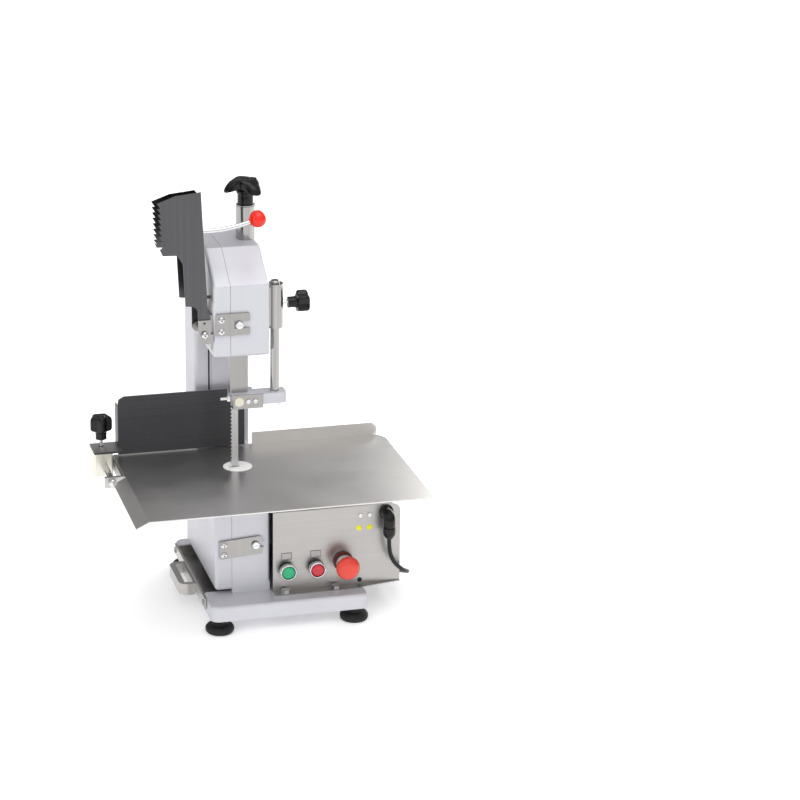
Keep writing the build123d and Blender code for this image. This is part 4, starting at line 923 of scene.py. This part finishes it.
# ------------------------------------------------------------------ finishes of the frame's own pieces
class SAW_OT_finishes(Operator):
    """Materials of every piece, made first and given to the pieces of the frame"""
    bl_idname = "saw.finishes"
    bl_label = "Finishes"

    def execute(self, context):
        colours = context.scene.saw_colours
        steel, dark = tuple(colours.steel), tuple(colours.dark_steel)
        cast_paint("casting_paint", tuple(colours.paint))
        brushed_steel("table_steel", tuple(c * 1.36 for c in steel), "X", 0.30)
        brushed_steel("box_steel", tuple(c * 0.82 for c in steel), "X", 0.33, 0.14, 2.0)
        brushed_steel("sheet_steel", tuple(c * 0.70 for c in steel), "Z", 0.28, 0.2, 2.0)
        # The fence sheet's top faces are painted lighter than its sides: painted light from above, not a
        # second finish.
        brushed_steel("fence_steel", (0.080, 0.080, 0.086), "X", 0.34, 0.25, 2.0, (0.55, 0.54, 0.53))
        brushed_steel("pusher_steel", dark, "Z", 0.30, 0.30, 3.0)
        brushed_steel("blade_steel", (0.42, 0.42, 0.42), "Z", 0.28, 0.2)
        brushed_steel("tray_steel", steel, "Y", 0.32)
        bare_metal("polished_steel", (0.47, 0.46, 0.45), 0.12)
        # The chrome's strong vertical streaks of light and dark tone are painted reflections, the bands a
        # round bright tube would mirror.
        brushed_steel("chrome_painted_reflections", (0.43, 0.42, 0.41), "Z", 0.15, 0.65, 4.5)
        bare_metal("machined_steel", (0.48, 0.48, 0.49), 0.32, 0.15)
        bare_metal("wheel_iron", (0.35, 0.35, 0.36), 0.42, 0.35)
        bare_metal("raw_aluminium", (0.76, 0.74, 0.66), 0.38, 0.25)
        moulded("black_gloss", (0.003, 0.003, 0.0035), 0.17, 350.0, 0.03)
        moulded("matte_rubber", (0.008, 0.008, 0.0085), 0.55, 650.0, 0.30)
        moulded("cord_sheath", (0.006, 0.006, 0.0065), 0.38, 420.0, 0.12)
        moulded("insert_white", (0.84, 0.84, 0.82), 0.38, 420.0, 0.10, 0.0, 0.03)
        moulded("pad_cream", (0.74, 0.70, 0.56), 0.40, 420.0, 0.10, 0.0, 0.05)
        moulded("start_green", tuple(colours.start), 0.18, 200.0, 0.02, 0.6)
        moulded("stop_red", tuple(colours.stop), 0.18, 200.0, 0.02, 0.6)
        moulded("emergency_red", tuple(colours.emergency), 0.24, 200.0, 0.02, 0.4)
        moulded("ball_red", tuple(colours.ball), 0.12, 200.0, 0.02, 0.3)
        moulded("collar_maroon", (0.10, 0.012, 0.012), 0.35, 300.0, 0.04, 0.2)
        moulded("plate_grey", (0.50, 0.49, 0.48), 0.45, 300.0, 0.04)
        moulded("plate_edge", (0.22, 0.22, 0.22), 0.40, 300.0, 0.04)
        moulded("dot_yellow", tuple(colours.dots), 0.35, 200.0, 0.02, 0.2)
        moulded("motor_paint", (0.09, 0.10, 0.12), 0.45, 500.0, 0.2)
        worn_by = {
            "casting_paint": ("base_plate", "frame_casting", "door_shell", "guide_arm"),
            "table_steel": ("work_table", "table_brackets"),
            "box_steel": ("control_box",),
            "tray_steel": ("scrap_tray", "tray_handle", "rod_bracket"),
            "sheet_steel": ("blade_guard", "guide_holder", "latch_plates", "pusher_bracket", "frame_hinges",
                            "door_hinge_leaves"),
            "fence_steel": ("fence_plate",),
            "pusher_steel": ("pusher_channel",),
            "chrome_painted_reflections": ("tension_tube", "guide_post", "guide_sleeve"),
            "polished_steel": ("box_screws", "fence_rail", "pusher_handle",
                               "latch_studs", "guide_screws", "estop_stem"),
            "machined_steel": ("frame_fasteners", "upper_axle", "slide_block", "slide_rails", "tension_screw",
                               "lower_shaft", "lower_bearings", "wheel_bearings", "tension_spring"),
            "wheel_iron": ("upper_wheel", "lower_wheel"),
            "raw_aluminium": ("fence_block",),
            "insert_white": ("table_insert", "blade_scrapers"),
            "pad_cream": ("guide_pads",),
            "black_gloss": ("mains_plug", "switch_gear"),
            "matte_rubber": ("door_gasket",),
            "motor_paint": ("motor",),
        }
        for material, nodes in worn_by.items():
            for node in nodes:
                cover(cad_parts[node], material)
        return {"FINISHED"}


# ------------------------------------------------------------------ panel and registration
STEPS = (SAW_OT_stage, SAW_OT_finishes, SAW_OT_cord, SAW_OT_gland, SAW_OT_knobs, SAW_OT_feet, SAW_OT_buttons,
         SAW_OT_plates, SAW_OT_ball, SAW_OT_blade)


class SAW_PT_panel(Panel):
    """Sidebar panel with the sizes, the colours and one button for each group of pieces"""
    bl_idname = "SAW_PT_panel"
    bl_label = "Bone Saw"
    bl_space_type = "VIEW_3D"
    bl_region_type = "UI"
    bl_category = "Bone Saw"

    def draw(self, context):
        for group in (context.scene.saw_sizes, context.scene.saw_colours):
            for name in group.__annotations__:
                self.layout.prop(group, name)
        for step in STEPS:
            self.layout.operator(step.bl_idname)


CLASSES = (SAW_PG_sizes, SAW_PG_colours) + STEPS + (SAW_PT_panel,)


def register():
    for item in CLASSES:
        bpy.utils.register_class(item)
    bpy.types.Scene.saw_sizes = PointerProperty(type=SAW_PG_sizes)
    bpy.types.Scene.saw_colours = PointerProperty(type=SAW_PG_colours)


def unregister():
    del bpy.types.Scene.saw_colours
    del bpy.types.Scene.saw_sizes
    for item in reversed(CLASSES):
        bpy.utils.unregister_class(item)


def main():
    register()
    for step in STEPS:
        group, action = step.bl_idname.split(".")
        getattr(getattr(bpy.ops, group), action)()


if __name__ == "__main__":
    main()
